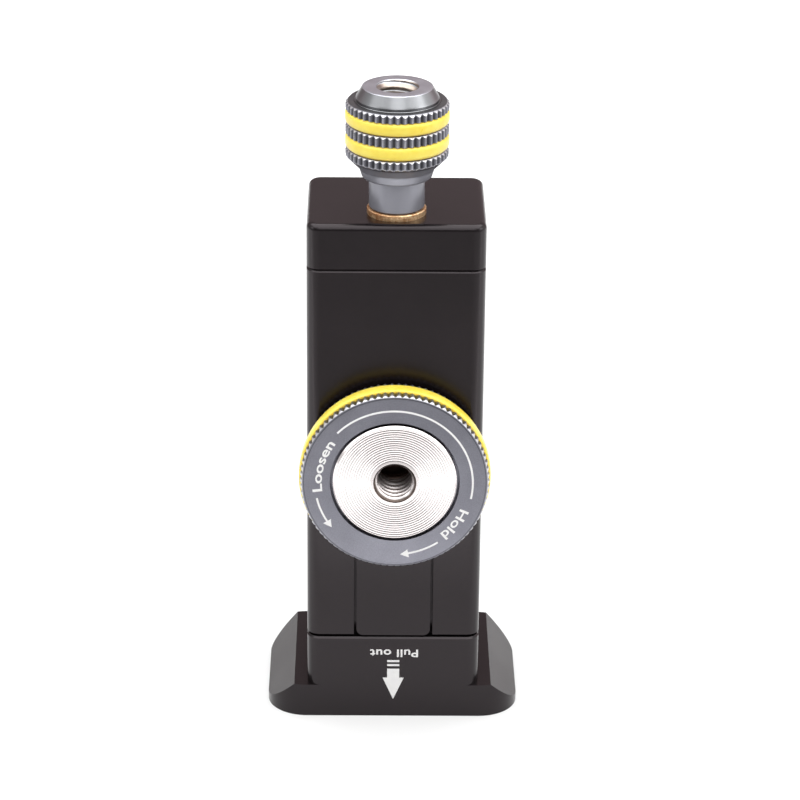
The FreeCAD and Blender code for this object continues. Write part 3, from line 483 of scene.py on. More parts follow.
WHEEL_MIDDLE = sum(extent("lock_wheel")) / 2
WHEEL_TIP = half_width("lock_wheel")
KNOB_TIP = half_width("knob")
KNOB_TOP = heights("knob")[1]


# Materials
def use_group(group, **values):
    """The outputs of a group placed in a material."""
    return add_node("Group", values, node_tree=group).outputs


def raised(height):
    """The normal of a surface raised by a height in millimetres."""
    return add_node("Bump", {"Distance": MM, "Height": height}).outputs[0]


def drawn_out(tree, share):
    """Shader inputs that stretch the gloss across the turning marks, which run along the piece's UV map."""
    along = add_source(tree, "Tangent", direction_type="UV_MAP", uv_map="turned")
    return {"Anisotropic": share, "Tangent": along.outputs[0]}


def make_black_anodised():
    """Satin black anodised aluminium with a warm cast, blasted grain and faint smears."""
    material, tree, shader = new_material("black_anodised")
    place = object_place(tree)
    grain = use_group(GRAIN, Vector=place, Size=0.2, Depth=0.008)
    smear = use_group(HANDLING, Vector=place, Size=11.0)["Mask"]
    tone = plus(times(grain["Tone"], 0.9), times(smear, 0.6))
    feed(shader, {
        "Base Color": blend_colours(tone, (0.0036, 0.0025, 0.0028), (0.0090, 0.0064, 0.0070)),
        "Roughness": mixed(smear, 0.20, 0.27),
        "Normal": raised(grain["Height"]),
        "Specular IOR Level": 0.33, "Specular Tint": (1.0, 0.90, 0.945, 1.0)})
    return material


# Grey anodised finish: its tones, and where it changes, by the depth under the teeth's tips and by height:
# painted shade in the grooves, painted highlights on the crests, painted glints on the tooth ends, a painted
# dark reflection line, and painted shade on the knob's top face
GREY_METALLIC = 0.8
GREY_DARK = (0.15, 0.15, 0.175)
GREY_LIGHT = (0.20, 0.20, 0.23)
GROOVE_PAINTED_SHADE = (0.02, 0.02, 0.023)
CREST_PAINTED_HIGHLIGHT = (0.5, 0.5, 0.53)
CREST_BAND = (0.0, 0.1)
TOOTH_END_PAINTED_GLINT = (0.56, 0.56, 0.58)
TOOTH_END_BAND = ((0.02, 0.06), (0.22, 0.36))
PAINTED_DARK_LINE_TONE = (0.03, 0.03, 0.034)
LINE_BAND = ((0.44, 0.5), (0.56, 0.62))
NECK_METALLIC = 0.35
NECK_TONE = (0.26, 0.26, 0.295)
NECK_TOP = heights("knob_ring_lower")[0] - 1.5
NECK_EDGE = (NECK_TOP - 0.5, NECK_TOP)
KNOB_TOP_PAINTED_SHADE = (0.09, 0.09, 0.095)
KNOB_TOP_EDGE = (KNOB_TOP - 0.06, KNOB_TOP - 0.02)


def make_grey_anodised(name, keep, tip, centre=None, with_neck=False):
    """Satin blue-grey anodised aluminium with fine grain and faint turning lines round its axis.

    Teeth get painted shade by how deep they are cut, a faint painted highlight on their crests, painted
    glints on their bevelled ends, and a thin dark line of painted reflection a little inside their roots.
    With a neck, what lies below the knurled part is duller, and the top face is darker by painted shade.
    """
    material, tree, shader = new_material(name, GREY_METALLIC)
    place = object_place(tree, centre)
    grain = use_group(GRAIN, Vector=place, Size=0.17, Depth=0.007)
    reach = reach_from_axis(place, keep)
    lines = use_group(LINES, Along=reach, Pitch=0.17, Depth=0.0012)
    smear = use_group(HANDLING, Vector=place, Size=6.0)["Mask"]
    tone = plus(times(grain["Tone"], 2.2), smear)
    colour = blend_colours(tone, GREY_DARK, GREY_LIGHT)
    cut = add_source(tree, "Attribute", attribute_name="cut").outputs["Fac"]
    depth = maths("SUBTRACT", tip, reach)
    uncut = map_range(cut, 0.0, 0.05, 1.0, 0.0)
    # Painted shade: the deeper a point is cut into a groove, the darker it is
    painted_groove_shade = map_range(cut, 0.02, TOOTH_DEPTH, 0.0, 0.88)
    # Painted highlight along the teeth's crests
    painted_crest_highlight = map_range(depth, *CREST_BAND, 0.35, 0.0)
    # Painted glints on the uncut bevelled ends of the teeth
    painted_tooth_end_glint = times(soft_band(depth, *TOOTH_END_BAND), uncut)
    # A thin dark line of painted reflection a little inside the teeth's roots
    painted_dark_line = soft_band(depth, *LINE_BAND, 0.7)
    colour = blend_colours(painted_groove_shade, colour, GROOVE_PAINTED_SHADE)
    colour = blend_colours(painted_crest_highlight, colour, CREST_PAINTED_HIGHLIGHT)
    colour = blend_colours(painted_tooth_end_glint, colour, TOOTH_END_PAINTED_GLINT)
    colour = blend_colours(painted_dark_line, colour, PAINTED_DARK_LINE_TONE)
    if with_neck:
        height = maths("DIVIDE", parts_of(place)["Z"], MM)
        above = map_range(height, *NECK_EDGE, 0.0, 1.0)
        colour = blend_colours(above, NECK_TONE, colour)
        # Painted shade: the knob's top face is darker
        colour = blend_colours(map_range(height, *KNOB_TOP_EDGE, 0.0, 1.0), colour, KNOB_TOP_PAINTED_SHADE)
        feed(shader, {"Metallic": mixed(above, NECK_METALLIC, GREY_METALLIC)})
    feed(shader, {
        "Base Color": colour, "Roughness": mixed(smear, 0.27, 0.35),
        "Normal": raised(plus(grain["Height"], lines["Height"])), **drawn_out(tree, 0.65)})
    return material


# Turned steel: its tones, the painted shade in the thread's roots, and the painted shade at the end of the
# bore
STEEL_DARK = (0.72, 0.675, 0.67)
STEEL_LIGHT = (0.80, 0.75, 0.745)
ROOT_PAINTED_SHADE = (0.07, 0.05, 0.04)
ROOT_SHADE_BAND = ((THREAD_CREST + 0.1, THREAD_CREST + 0.4), (THREAD_MOUTH - 0.03, THREAD_MOUTH + 0.05))
FACE_EDGE = (THREAD_MOUTH, THREAD_MOUTH + 0.1)
BORE_END_PAINTED_SHADE = (0.13, 0.085, 0.07)
BORE_END = [(extent("tripod_socket")[0][1] + depth) * MM for depth in (6.0, 8.0)]


def make_turned_steel():
    """Bright turned stainless steel, its gloss drawn out across fine rings, with painted shade in the
    thread's roots and at the end of the bore.
    """
    material, tree, shader = new_material("turned_steel", 1.0)
    place = object_place(tree, WHEEL_MIDDLE)
    reach = reach_from_axis(place, ROUND_Y)
    lines = use_group(LINES, Along=reach, Pitch=0.11, Depth=0.0008)
    smear = use_group(HANDLING, Vector=place, Size=5.0)["Mask"]
    shade = plus(times(lines["Tone"], 0.25), times(smear, 0.75))
    colour = blend_colours(shade, STEEL_DARK, STEEL_LIGHT)
    # Painted shade between the thread's crests and the mouth
    colour = blend_colours(soft_band(reach, *ROOT_SHADE_BAND, 0.97), colour, ROOT_PAINTED_SHADE)
    # Painted shade toward the deep end of the bore
    deep = map_range(parts_of(object_place(tree))["Y"], *BORE_END, 0.0, 1.0)
    painted_bore_end_shade = times(deep, map_range(reach, *FACE_EDGE, 1.0, 0.0))
    in_bore = map_range(reach, THREAD_MOUTH, THREAD_MOUTH + 0.2, 0.32, 0.0)
    on_face = map_range(reach, *FACE_EDGE, 0.0, 1.0)
    face_gloss = plus(0.13, times(smear, 0.06))
    feed(shader, {
        "Base Color": blend_colours(painted_bore_end_shade, colour, BORE_END_PAINTED_SHADE),
        "Roughness": maths("MAXIMUM", in_bore, face_gloss),
        "Normal": raised(times(lines["Height"], on_face)), **drawn_out(tree, 0.5)})
    return material


def make_insert_steel():
    """Grey turned steel of the knob's threaded insert: a top face painted pale and a bevel painted darker as
    light and shade, and a bore painted brownish dark as shade.
    """
    material, tree, shader = new_material("insert_steel", 1.0)
    place = object_place(tree)
    grain = use_group(GRAIN, Vector=place, Size=0.12, Depth=0.0012)
    reach = reach_from_axis(place, ROUND_Z)
    lines = use_group(LINES, Along=reach, Pitch=0.12, Depth=0.001)
    smear = use_group(HANDLING, Vector=place, Size=3.0)["Mask"]
    face = blend_colours(smear, (0.58, 0.62, 0.68), (0.68, 0.72, 0.78))
    # Painted light and shade: the top face paler, the bevel darker
    painted_bevel_shade = map_range(reach, INSERT_FACE - 0.05, INSERT_FACE + 0.05, 0.0, 1.0)
    colour = blend_colours(painted_bevel_shade, face, (0.24, 0.245, 0.255))
    # Painted shade: the bore is brownish dark
    in_bore = map_range(reach, THREAD_MOUTH - 0.15, THREAD_MOUTH, 1.0, 0.0)
    feed(shader, {
        "Base Color": blend_colours(in_bore, colour, (0.36, 0.31, 0.27)),
        "Roughness": mixed(smear, 0.28, 0.33),
        "Normal": raised(plus(grain["Height"], lines["Height"]))})
    return material


def make_yellow_rubber():
    """Warm yellow elastic rubber, a little uneven, and more orange toward the edges of its section as painted
    shade.
    """
    material, tree, shader = new_material("yellow_rubber")
    place = object_place(tree)
    patches = use_group(HANDLING, Vector=place, Size=3.0)["Mask"]
    grain = use_group(GRAIN, Vector=place, Size=0.5, Depth=0.02)
    crown = blend_colours(patches, (0.93, 0.70, 0.06), (0.98, 0.83, 0.15))
    section = parts_of(add_source(tree, "UVMap", uv_map="turned").outputs[0])["Y"]
    # Painted shade: more orange toward both edges of the ring's section
    edge = maths("MAXIMUM", map_range(section, 0.50, 0.76, 0.0, 0.6),
                 map_range(section, 0.08, 0.2, 0.5, 0.0))
    feed(shader, {
        "Base Color": blend_colours(edge, crown, (0.80, 0.42, 0.02)),
        "Roughness": mixed(patches, 0.26, 0.38),
        "Normal": raised(grain["Height"]),
        "Subsurface Weight": 0.12, "Subsurface Radius": (1.0, 0.7, 0.2), "Subsurface Scale": 0.0006})
    return material


def make_plain_finish(name, metallic, patches, patch_size, grain, dark, light, roughness):
    """Two tones and two roughnesses by a mask of patches, with blasted grain of a size and a depth."""
    material, tree, shader = new_material(name, metallic)
    place = object_place(tree)
    mask = use_group(patches, Vector=place, Size=patch_size)["Mask"]
    bumps = use_group(GRAIN, Vector=place, Size=grain[0], Depth=grain[1])["Height"]
    feed(shader, {
        "Base Color": blend_colours(mask, dark, light),
        "Roughness": mixed(mask, *roughness), "Normal": raised(bumps)})
    return material


BLACK = make_black_anodised()
WHEEL_GREY = make_grey_anodised("grey_anodised_wheel", ROUND_Y, WHEEL_TIP, centre=WHEEL_MIDDLE)
KNOB_GREY = make_grey_anodised("grey_anodised_knob", ROUND_Z, KNOB_TIP, with_neck=True)
TURNED_STEEL = make_turned_steel()
INSERT_STEEL = make_insert_steel()
YELLOW = make_yellow_rubber()

# Blackened steel of the hidden screws, pins, nut, washer and clip
DARK_STEEL = make_plain_finish(
    "dark_steel", metallic=1.0, patches=HANDLING, patch_size=2.5, grain=(0.3, 0.004),
    dark=(0.08, 0.08, 0.085), light=(0.19, 0.185, 0.18), roughness=(0.30, 0.48))

# Drawn spring wire
SPRING_STEEL = make_plain_finish(
    "spring_steel", metallic=1.0, patches=HANDLING, patch_size=1.5, grain=(0.08, 0.003),
    dark=(0.40, 0.39, 0.38), light=(0.62, 0.61, 0.59), roughness=(0.28, 0.28))

# Worn bronze-brass of the bush, mottled orange and straw
BRASS = make_plain_finish(
    "worn_brass", metallic=0.85, patches=MOTTLE, patch_size=0.9, grain=(0.18, 0.03),
    dark=(0.42, 0.20, 0.09), light=(0.86, 0.62, 0.36), roughness=(0.55, 0.36))

# Matt black rubber of the pads
RUBBER = make_plain_finish(
    "black_rubber", metallic=0.0, patches=HANDLING, patch_size=4.0, grain=(0.22, 0.03),
    dark=(0.014, 0.014, 0.014), light=(0.028, 0.027, 0.026), roughness=(0.52, 0.72))

# Off-white bearing plastic of the thrust washer
POLYMER = make_plain_finish(
    "white_polymer", metallic=0.0, patches=HANDLING, patch_size=3.0, grain=(0.3, 0.008),
    dark=(0.66, 0.65, 0.61), light=(0.76, 0.75, 0.72), roughness=(0.5, 0.5))

# White filling of the engraved markings
PRINT = make_plain_finish(
    "white_print", metallic=0.0, patches=HANDLING, patch_size=1.2, grain=(0.1, 0.006),
    dark=(0.88, 0.87, 0.87), light=(0.96, 0.95, 0.94), roughness=(0.6, 0.6))

PACKED_FINISHES = (
    (BLACK, ("lower_jaw", "jaw_rail", "housing", "top_jaw")),
    (DARK_STEEL, ("jaw_screws", "top_jaw_screws", "spring_seat_pins", "travel_stop_pin", "socket_nut",
                  "knob_washer", "knob_clip")),
    (BRASS, ("brake_pin_left", "brake_pin_right", "knob_bush")),
    (RUBBER, ("lower_jaw_pad", "top_jaw_pad", "back_pad")),
    (YELLOW, ("lock_wheel_ring", "knob_ring_lower", "knob_ring_upper")),
    (SPRING_STEEL, ("return_spring_left", "return_spring_right")),
    (POLYMER, ("thrust_washer",)),
    (WHEEL_GREY, ("lock_wheel",)),
    (KNOB_GREY, ("knob",)),
    (TURNED_STEEL, ("tripod_socket",)),
    (INSERT_STEEL, ("threaded_insert",)),
)


def finish_packed_nodes():
    """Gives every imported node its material."""
    for material, names in PACKED_FINISHES:
        for name in names:
            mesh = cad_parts[name].data
            mesh.materials.clear()
            mesh.materials.append(material)


# Threaded bores
THREAD_STEP = 0.06
COUNTERSINK_STEPS = 12
SAME_RADIUS = 1e-6


def bore_corners(floor, face):
    """Corners of a threaded bore, from the middle of its floor to the start of its 45 degree countersink."""
    mouth = face - (THREAD_MOUTH - THREAD_CREST)
    steps = int((mouth - floor) / THREAD_STEP)
    return [(0, floor, 1), (THREAD_CREST, floor, steps), (THREAD_CREST, mouth, COUNTERSINK_STEPS)]


def threaded(low):
    """A radial change for the points of a bore above its floor, cut as a single helix.

    The phase is height over pitch less the share of a turn. The thread's radius is the crest's plus its depth
    times ((1 - cos phase) / 2) ^ 0.8, it fades in over a short length at the floor, and it cuts through the
    countersink, where the larger of both radii counts.
    """
    def radial(angle, radius, height):
        phase = height / THREAD_PITCH * TURN - angle[None, :]
        fade = np.clip((height - low) / THREAD_FADE, 0, 1)
        groove = THREAD_CREST + fade * THREAD_DEPTH * (0.5 - 0.5 * np.cos(phase)) ** 0.8
        return np.where(radius <= THREAD_MOUTH + SAME_RADIUS, np.maximum(radius, groove), radius)
    return radial


# Tripod socket
SOCKET_FACE_DEPTH = 2.0
SOCKET_HUB = 7.0
SOCKET_SPIGOT = 5.0
SOCKET_BORE = 8.4
SOCKET_EDGE = 0.25
HOUSING_FRONT = extent("housing")[0][1]
FACE_RING_PITCH = 0.35
FACE_RING_DEPTH = 0.048
WHEEL_AXIS = WHEEL_MIDDLE * (1, 0, 1)


def make_tripod_socket():
    """Steel socket: threaded bore, countersink, face with shallow turned rings, flange, hub and spigot.

    On the face the height falls by the ring depth times (1 - cos) / 2 of the reach over the ring pitch.
    """
    low, high = extent("tripod_socket")
    radius = half_width("tripod_socket")
    face, front, back = -low[1], -HOUSING_FRONT, -high[1]
    floor, under = face - SOCKET_BORE, face - SOCKET_FACE_DEPTH
    rings = np.arange(THREAD_MOUTH + FACE_RING_PITCH, radius - SOCKET_EDGE, FACE_RING_PITCH / 8)
    wave = 0.5 - 0.5 * np.cos((rings - rings[0]) / FACE_RING_PITCH * TURN)
    bore = profile_of(*bore_corners(floor, face), (THREAD_MOUTH, face, 1), (rings[0], face, 1))
    rim = profile_of((radius - SOCKET_EDGE, face, 4), (radius, face - SOCKET_EDGE, 4), (radius, under, 4),
                     (SOCKET_HUB, under, 6), (SOCKET_HUB, front, 2), (SOCKET_SPIGOT, front, 6),
                     (SOCKET_SPIGOT, back, 4), (0, back, 1))
    profile = np.vstack([bore[:-1], np.stack([rings, face - FACE_RING_DEPTH * wave], axis=1), rim])
    piece = turned_solid("tripod_socket_steel", profile, around=192, aim=facing_front, middle=WHEEL_AXIS,
                         radial=threaded(floor), body="holder", slot="bright_steel", material=TURNED_STEEL)
    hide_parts("tripod_socket")


# Threaded insert in the knob; the heights of its edges are above its rim
INSERT_BODY = 4.6
INSERT_FLANGE = 6.2
INSERT_NECK = 5.75
INSERT_BEVEL = 6.0
INSERT_FLOOR = 1.4
INSERT_STANDOUT = 2.05
INSERT_LEDGE = 0.5
INSERT_LIP = 0.12
BEVEL_EDGE = 0.03
BEVEL_END = (0.52, 0.45)
NECK_SPAN = (0.32, 0.13)
FLANGE_TOP = (0.12, 0.07)
FINE_EDGE = 0.05


def make_threaded_insert():
    """Insert: threaded bore, countersink, narrow top face, wide bevel, undercut, flange and hidden body."""
    bottom, top = heights("threaded_insert")
    rim = top - INSERT_STANDOUT
    floor, ledge = bottom + INSERT_FLOOR, rim - INSERT_LEDGE
    profile = profile_of(
        *bore_corners(floor, top), (THREAD_MOUTH, top, 3), (INSERT_FACE - INSERT_LIP, top, 2),
        (INSERT_FACE, top - FINE_EDGE, 6), (INSERT_BEVEL - BEVEL_EDGE, rim + BEVEL_END[0], 2),
        (INSERT_BEVEL, rim + BEVEL_END[1], 2), (INSERT_NECK, rim + NECK_SPAN[0], 3),
        (INSERT_NECK, rim + NECK_SPAN[1], 2), (INSERT_FLANGE - FINE_EDGE, rim + FLANGE_TOP[0], 1),
        (INSERT_FLANGE, rim + FLANGE_TOP[1], 3), (INSERT_FLANGE, ledge, 2), (INSERT_BODY, ledge, 4),
        (INSERT_BODY, bottom, 2), (0, bottom, 1))
    piece = turned_solid("threaded_insert_steel", profile, around=128, aim=standing, middle=np.zeros(3),
                         radial=threaded(floor), body="spinner", slot="silver_insert", material=INSERT_STEEL)
    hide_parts("threaded_insert")


# Knurled wheel and knob
TOOTH_ROUND = 0.97
CHAMFER = 0.25
HUB_PLAY = 0.05
WHEEL_TEETH = 86
WHEEL_TOOTH_STEPS = 10
WHEEL_RIM_WIDTH = 0.5
WHEEL_RIM_LENGTH = 1.1
WHEEL_RIM_STEPS = 16
WHEEL_DISH = 9.47
WHEEL_WEB = 9.75
WHEEL_RING_SEAT = 13.15
WHEEL_FRONT_EDGE = 0.08
WHEEL_BACK_EDGE = 0.15
KNOB_TEETH = 44
KNOB_TOOTH_STEPS = 12
KNOB_RING_SEAT = 6.7
KNOB_RING_EDGE = 0.06
KNOB_RIM_CHAMFER = 0.4
STEM_RADIUS = 4.05
STEM_LENGTH = 4.8
COLLAR_LOW = 5.1
COLLAR_HIGH = 5.5
COLLAR_EDGE = 0.1
COLLAR_HEIGHT = 1.35
JOURNAL_RADIUS = 2.5
JOURNAL_GROOVE = 2.1


def toothed(count, tip):
    """A radial change that cuts straight teeth: no radius is larger than the tooth's own.

    The radius is the tip's less the depth times (1 - s), where s = 1/2 + asin(k cos(n a)) / (2 asin k) is
    a triangle wave of the angle whose corners are a little rounded.
    """
    def radial(angle, radius, height):
        wave = np.arcsin(TOOTH_ROUND * np.cos(count * angle)) / math.asin(TOOTH_ROUND)
        return np.minimum(radius, tip - TOOTH_DEPTH * (0.5 - 0.5 * wave[None, :]))
    return radial


def make_lock_wheel():
    """Lock wheel: a dished web, a face, a rim whose front edge is a quarter ellipse, and a seat for the ring.

    The rim's edge is (r - w + w sin t, face - l + l cos t) for t from 0 to a quarter turn.
    """
    low, high = extent("lock_wheel")
    ring_low, ring_high = extent("lock_wheel_ring")
    face, back = -low[1], -high[1]
    front_groove, back_groove = -ring_low[1], -ring_high[1]
    tip, hub = WHEEL_TIP, SOCKET_HUB + HUB_PLAY
    flat = tip - WHEEL_RIM_WIDTH
    t = np.linspace(0, math.pi / 2, WHEEL_RIM_STEPS)
    edge = np.stack([flat + WHEEL_RIM_WIDTH * np.sin(t), face - WHEEL_RIM_LENGTH * (1 - np.cos(t))], axis=1)
    behind = profile_of((tip, front_groove + WHEEL_FRONT_EDGE, 1), (tip - WHEEL_FRONT_EDGE, front_groove, 3),
                        (WHEEL_RING_SEAT, front_groove, 3), (WHEEL_RING_SEAT, back_groove, 3),
                        (tip - WHEEL_BACK_EDGE, back_groove, 3), (tip, back_groove - WHEEL_BACK_EDGE, 2),
                        (tip, back + CHAMFER, 4), (tip - CHAMFER - WHEEL_BACK_EDGE, back, 5), (hub, back, 4),
                        (hub, WHEEL_WEB, 4), (WHEEL_DISH, WHEEL_WEB, 4), (WHEEL_DISH, face - FINE_EDGE, 2),
                        (WHEEL_DISH + FINE_EDGE, face, 8), (flat, face, 1))
    piece = turned_ring("lock_wheel_grey", np.vstack([edge, behind[:-1]]), WHEEL_TEETH * WHEEL_TOOTH_STEPS,
                        facing_front, WHEEL_AXIS, toothed(WHEEL_TEETH, tip), body="wheel",
                        slot="grey_anodised", material=WHEEL_GREY)
    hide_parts("lock_wheel")


def make_knob():
    """Knob: journal with a clip groove, stem, collar, and three knurled bands between two ring grooves."""
    tip, end, top = KNOB_TIP, heights("knob")[0], KNOB_TOP
    clip_low, clip_high = heights("knob_clip")
    bush_top = heights("knob_bush")[1]
    stem, collar = bush_top + HUB_PLAY, bush_top + STEM_LENGTH
    cone = collar + COLLAR_HEIGHT
    grooves = heights("knob_ring_lower") + heights("knob_ring_upper")
    rim = tip - KNOB_RIM_CHAMFER
    corners = [(0, end, 1), (JOURNAL_RADIUS - CHAMFER, end, 2), (JOURNAL_RADIUS, end + CHAMFER, 2),
               (JOURNAL_RADIUS, clip_low, 2), (JOURNAL_GROOVE, clip_low, 2), (JOURNAL_GROOVE, clip_high, 2),
               (JOURNAL_RADIUS, clip_high, 4), (JOURNAL_RADIUS, stem, 2), (STEM_RADIUS - CHAMFER, stem, 3),
               (STEM_RADIUS, stem + CHAMFER, 8), (STEM_RADIUS, collar, 4),
               (COLLAR_LOW - COLLAR_EDGE, collar, 3), (COLLAR_LOW, collar + COLLAR_EDGE, 6),
               (COLLAR_HIGH, cone, 12),
               (tip - CHAMFER, cone + tip - CHAMFER - COLLAR_HIGH, 6), (tip, cone + tip - COLLAR_HIGH, 4),
               (tip, grooves[0] - KNOB_RIM_CHAMFER, 7), (rim, grooves[0], 2)]
    for low, high, band_end, count in ((*grooves[:3], 2), (*grooves[2:], top, 4)):
        corners += [(KNOB_RING_SEAT, low, 3), (KNOB_RING_SEAT, high, 2), (tip - KNOB_RING_EDGE, high, 2),
                    (tip, high + KNOB_RING_EDGE, 4), (tip, band_end - KNOB_RIM_CHAMFER, 7),
                    (rim, band_end, count)]
    ledge, insert_end = top - INSERT_LEDGE, heights("threaded_insert")[0]
    corners += [(INSERT_FLANGE + HUB_PLAY, top, 2), (INSERT_FLANGE + HUB_PLAY, ledge, 2),
                (INSERT_BODY, ledge, 3), (INSERT_BODY, insert_end, 2), (0, insert_end, 1)]
    piece = turned_solid("knob_grey", profile_of(*corners), KNOB_TEETH * KNOB_TOOTH_STEPS, standing,
                         np.zeros(3), toothed(KNOB_TEETH, tip), body="spinner", slot="grey_anodised",
                         material=KNOB_GREY)
    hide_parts("knob")


# Elastic rings
RING_TUCK = 0.03
RING_CROWN_STEPS = 25
RING_HARMONICS = 5
WHEEL_RING_POWER = 0.42
WHEEL_RING_UNEVEN = 0.03
KNOB_RING_POWER = 0.6
KNOB_RING_UNEVEN = 0.035
KNOB_RING_LOW = 0.02


def elastic_section(seat, crown, low, high, power):
    """Section of a stretched rubber ring: flat inside, and a crown like a flattened half oval outside.

    Across the ring the crown follows (cos a) ^ power and outward (sin a) ^ (power + 0.1), for a from 0 to
    half a turn, which fills the groove and leaves soft shoulders. A lower power is a squarer crown.
    """
    a = np.linspace(0, math.pi, RING_CROWN_STEPS)
    across = np.sign(np.cos(a)) * np.abs(np.cos(a)) ** power
    outward = np.abs(np.sin(a)) ** (power + 0.1)
    middle, half = (low + high) / 2, (high - low) / 2 - RING_TUCK
    curve = np.stack([seat + (crown - seat) * outward, middle + half * across], axis=1)
    return np.vstack([curve, run((seat, middle - half), (seat, middle + half), 4)[1:]])


def uneven_ring(seed, depth):
    """A ripple of the crown: a few low harmonics of the angle with fixed phases, zero at the seat."""
    phases = np.random.default_rng(seed).uniform(0, TURN, RING_HARMONICS)

    def radial(angle, radius, height):
        wave = sum(np.sin((k + 2) * angle + phases[k]) / (k + 2) for k in range(RING_HARMONICS))
        share = (radius - radius.min()) / (radius.max() - radius.min())
        return radius + depth * share * wave[None, :]
    return radial


def make_elastic_rings():
    """The wheel's ring and the knob's two rings, each in its groove."""
    low, high = extent("lock_wheel_ring")
    crown = half_width("lock_wheel_ring") - WHEEL_RING_UNEVEN
    section = elastic_section(WHEEL_RING_SEAT, crown, -high[1], -low[1], WHEEL_RING_POWER)
    ring = turned_ring("wheel_ring_rubber", section, around=160, aim=facing_front, middle=WHEEL_AXIS,
                       radial=uneven_ring(3, WHEEL_RING_UNEVEN), body="wheel", slot="yellow_rubber",
                       material=YELLOW)
    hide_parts("lock_wheel_ring")
    for seed, side in enumerate(("lower", "upper")):
        crown = half_width("knob_ring_" + side) - KNOB_RING_LOW
        section = elastic_section(KNOB_RING_SEAT, crown, *heights("knob_ring_" + side), KNOB_RING_POWER)
        ring = turned_ring("knob_ring_rubber_" + side, section, around=128, aim=standing, middle=np.zeros(3),
                           radial=uneven_ring(seed, KNOB_RING_UNEVEN), body="spinner", slot="yellow_rubber",
                           material=YELLOW)
        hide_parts("knob_ring_" + side)


# Rubber pads
PAD_EDGE = 0.25
PAD_STEPS = 150
PAD_FLAT_STRIDE = 6
PAD_END_SHARES = np.linspace(0.05, 1, 9)
PAD_RIBS = 5
RIB_HEIGHT = 0.25
GROOVE_COUNT = 5
GROOVE_DEPTH = 0.3
GROOVE_WIDTH = 0.006
JAW_PAD_CORNER = 0.8
BACK_PAD_CORNER = 1.6


def stand_back(radius, distance):
    """How far a rounded edge stands back at a distance d from its start: r - sqrt(r^2 - (r - d)^2)."""
    left = np.clip(radius - distance, 0, None)
    return radius - np.sqrt(np.clip(radius ** 2 - left ** 2, 0, None))


def rounded_slab(name, node, free_side, relief, corner, body):
    """A pad that fills its packed box: a closed outline in the Y-Z plane carried along X, with rounded ends.

    The outline runs along the free side, lowered by relief(share), and back along the flat side. Toward each
    end it shrinks as a rounded corner does in length, and as the pad's rounded edge does in thickness.
    """
    low, high = extent(node)
    thick_axis, long_axis = (2, 1) if free_side in ("up", "down") else (1, 2)
    length = high[long_axis] - low[long_axis]
    thick = high[thick_axis] - low[thick_axis]
    share = np.linspace(0, 1, PAD_STEPS)
    edge = stand_back(PAD_EDGE, share * length)
    free = np.stack([share * length, thick - relief(share) - edge - edge[::-1]], axis=1)
    flat = np.outer(share[::-PAD_FLAT_STRIDE] * length, (1, 0))
    outline = np.vstack([free, flat]) - (length / 2, 0)
    half = half_width(node)
    from_end = np.append(corner * (1 - np.cos(PAD_END_SHARES * math.pi / 2)), half)
    station = np.append(from_end - half, (half - from_end)[::-1][1:])
    from_end = np.append(from_end, from_end[::-1][1:])
    points = np.zeros((len(station), len(outline), 3))
    points[..., 0] = station[:, None]
    points[..., long_axis] = outline[:, 0] * (1 - stand_back(corner, from_end) / (length / 2))[:, None]
    points[..., long_axis] += (low[long_axis] + high[long_axis]) / 2
    rise = np.maximum(outline[:, 1] - stand_back(PAD_EDGE, from_end)[:, None] * (outline[:, 1] > 0), 0)
    points[..., thick_axis] = high[thick_axis] - rise if free_side == "down" else low[thick_axis] + rise
    piece = add_tube(name, points, body=body, slot="black_rubber", material=RUBBER)
    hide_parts(node)


def ribbed(share):
    """Rounded grip ribs: the surface falls by the rib height times (1 + cos) / 2 of five waves, flattened."""
    wave = 0.5 + 0.5 * np.cos(share * PAD_RIBS * TURN)
    return RIB_HEIGHT * np.clip(wave * 1.6 - 0.3, 0, 1)


def grooved(share):
    """Five narrow grooves across the back pad, each a soft notch: depth times e ^ -(distance / width) ^ 2."""
    spaces = GROOVE_COUNT + 1
    distance = np.abs((share * spaces + 0.5) % 1 - 0.5) / spaces
    inner = (share > 0.5 / spaces) & (share < 1 - 0.5 / spaces)
    return GROOVE_DEPTH * np.exp(-(distance / GROOVE_WIDTH) ** 2) * inner


def make_pads():
    """The ribbed pads of both jaws and the grooved pad on the housing's back."""
    rounded_slab("lower_pad_rubber", "lower_jaw_pad", "up", ribbed, JAW_PAD_CORNER, "foot")
    rounded_slab("top_pad_rubber", "top_jaw_pad", "down", ribbed, JAW_PAD_CORNER, "holder")
    rounded_slab("back_pad_rubber", "back_pad", "back", grooved, BACK_PAD_CORNER, "holder")


# Return springs
SPRING_WIRE = 0.4
SPRING_TURNS = 20
SPRING_DEAD_TURNS = 1.25
SPRING_TURN_STEPS = 28
WIRE_SIDES = 8


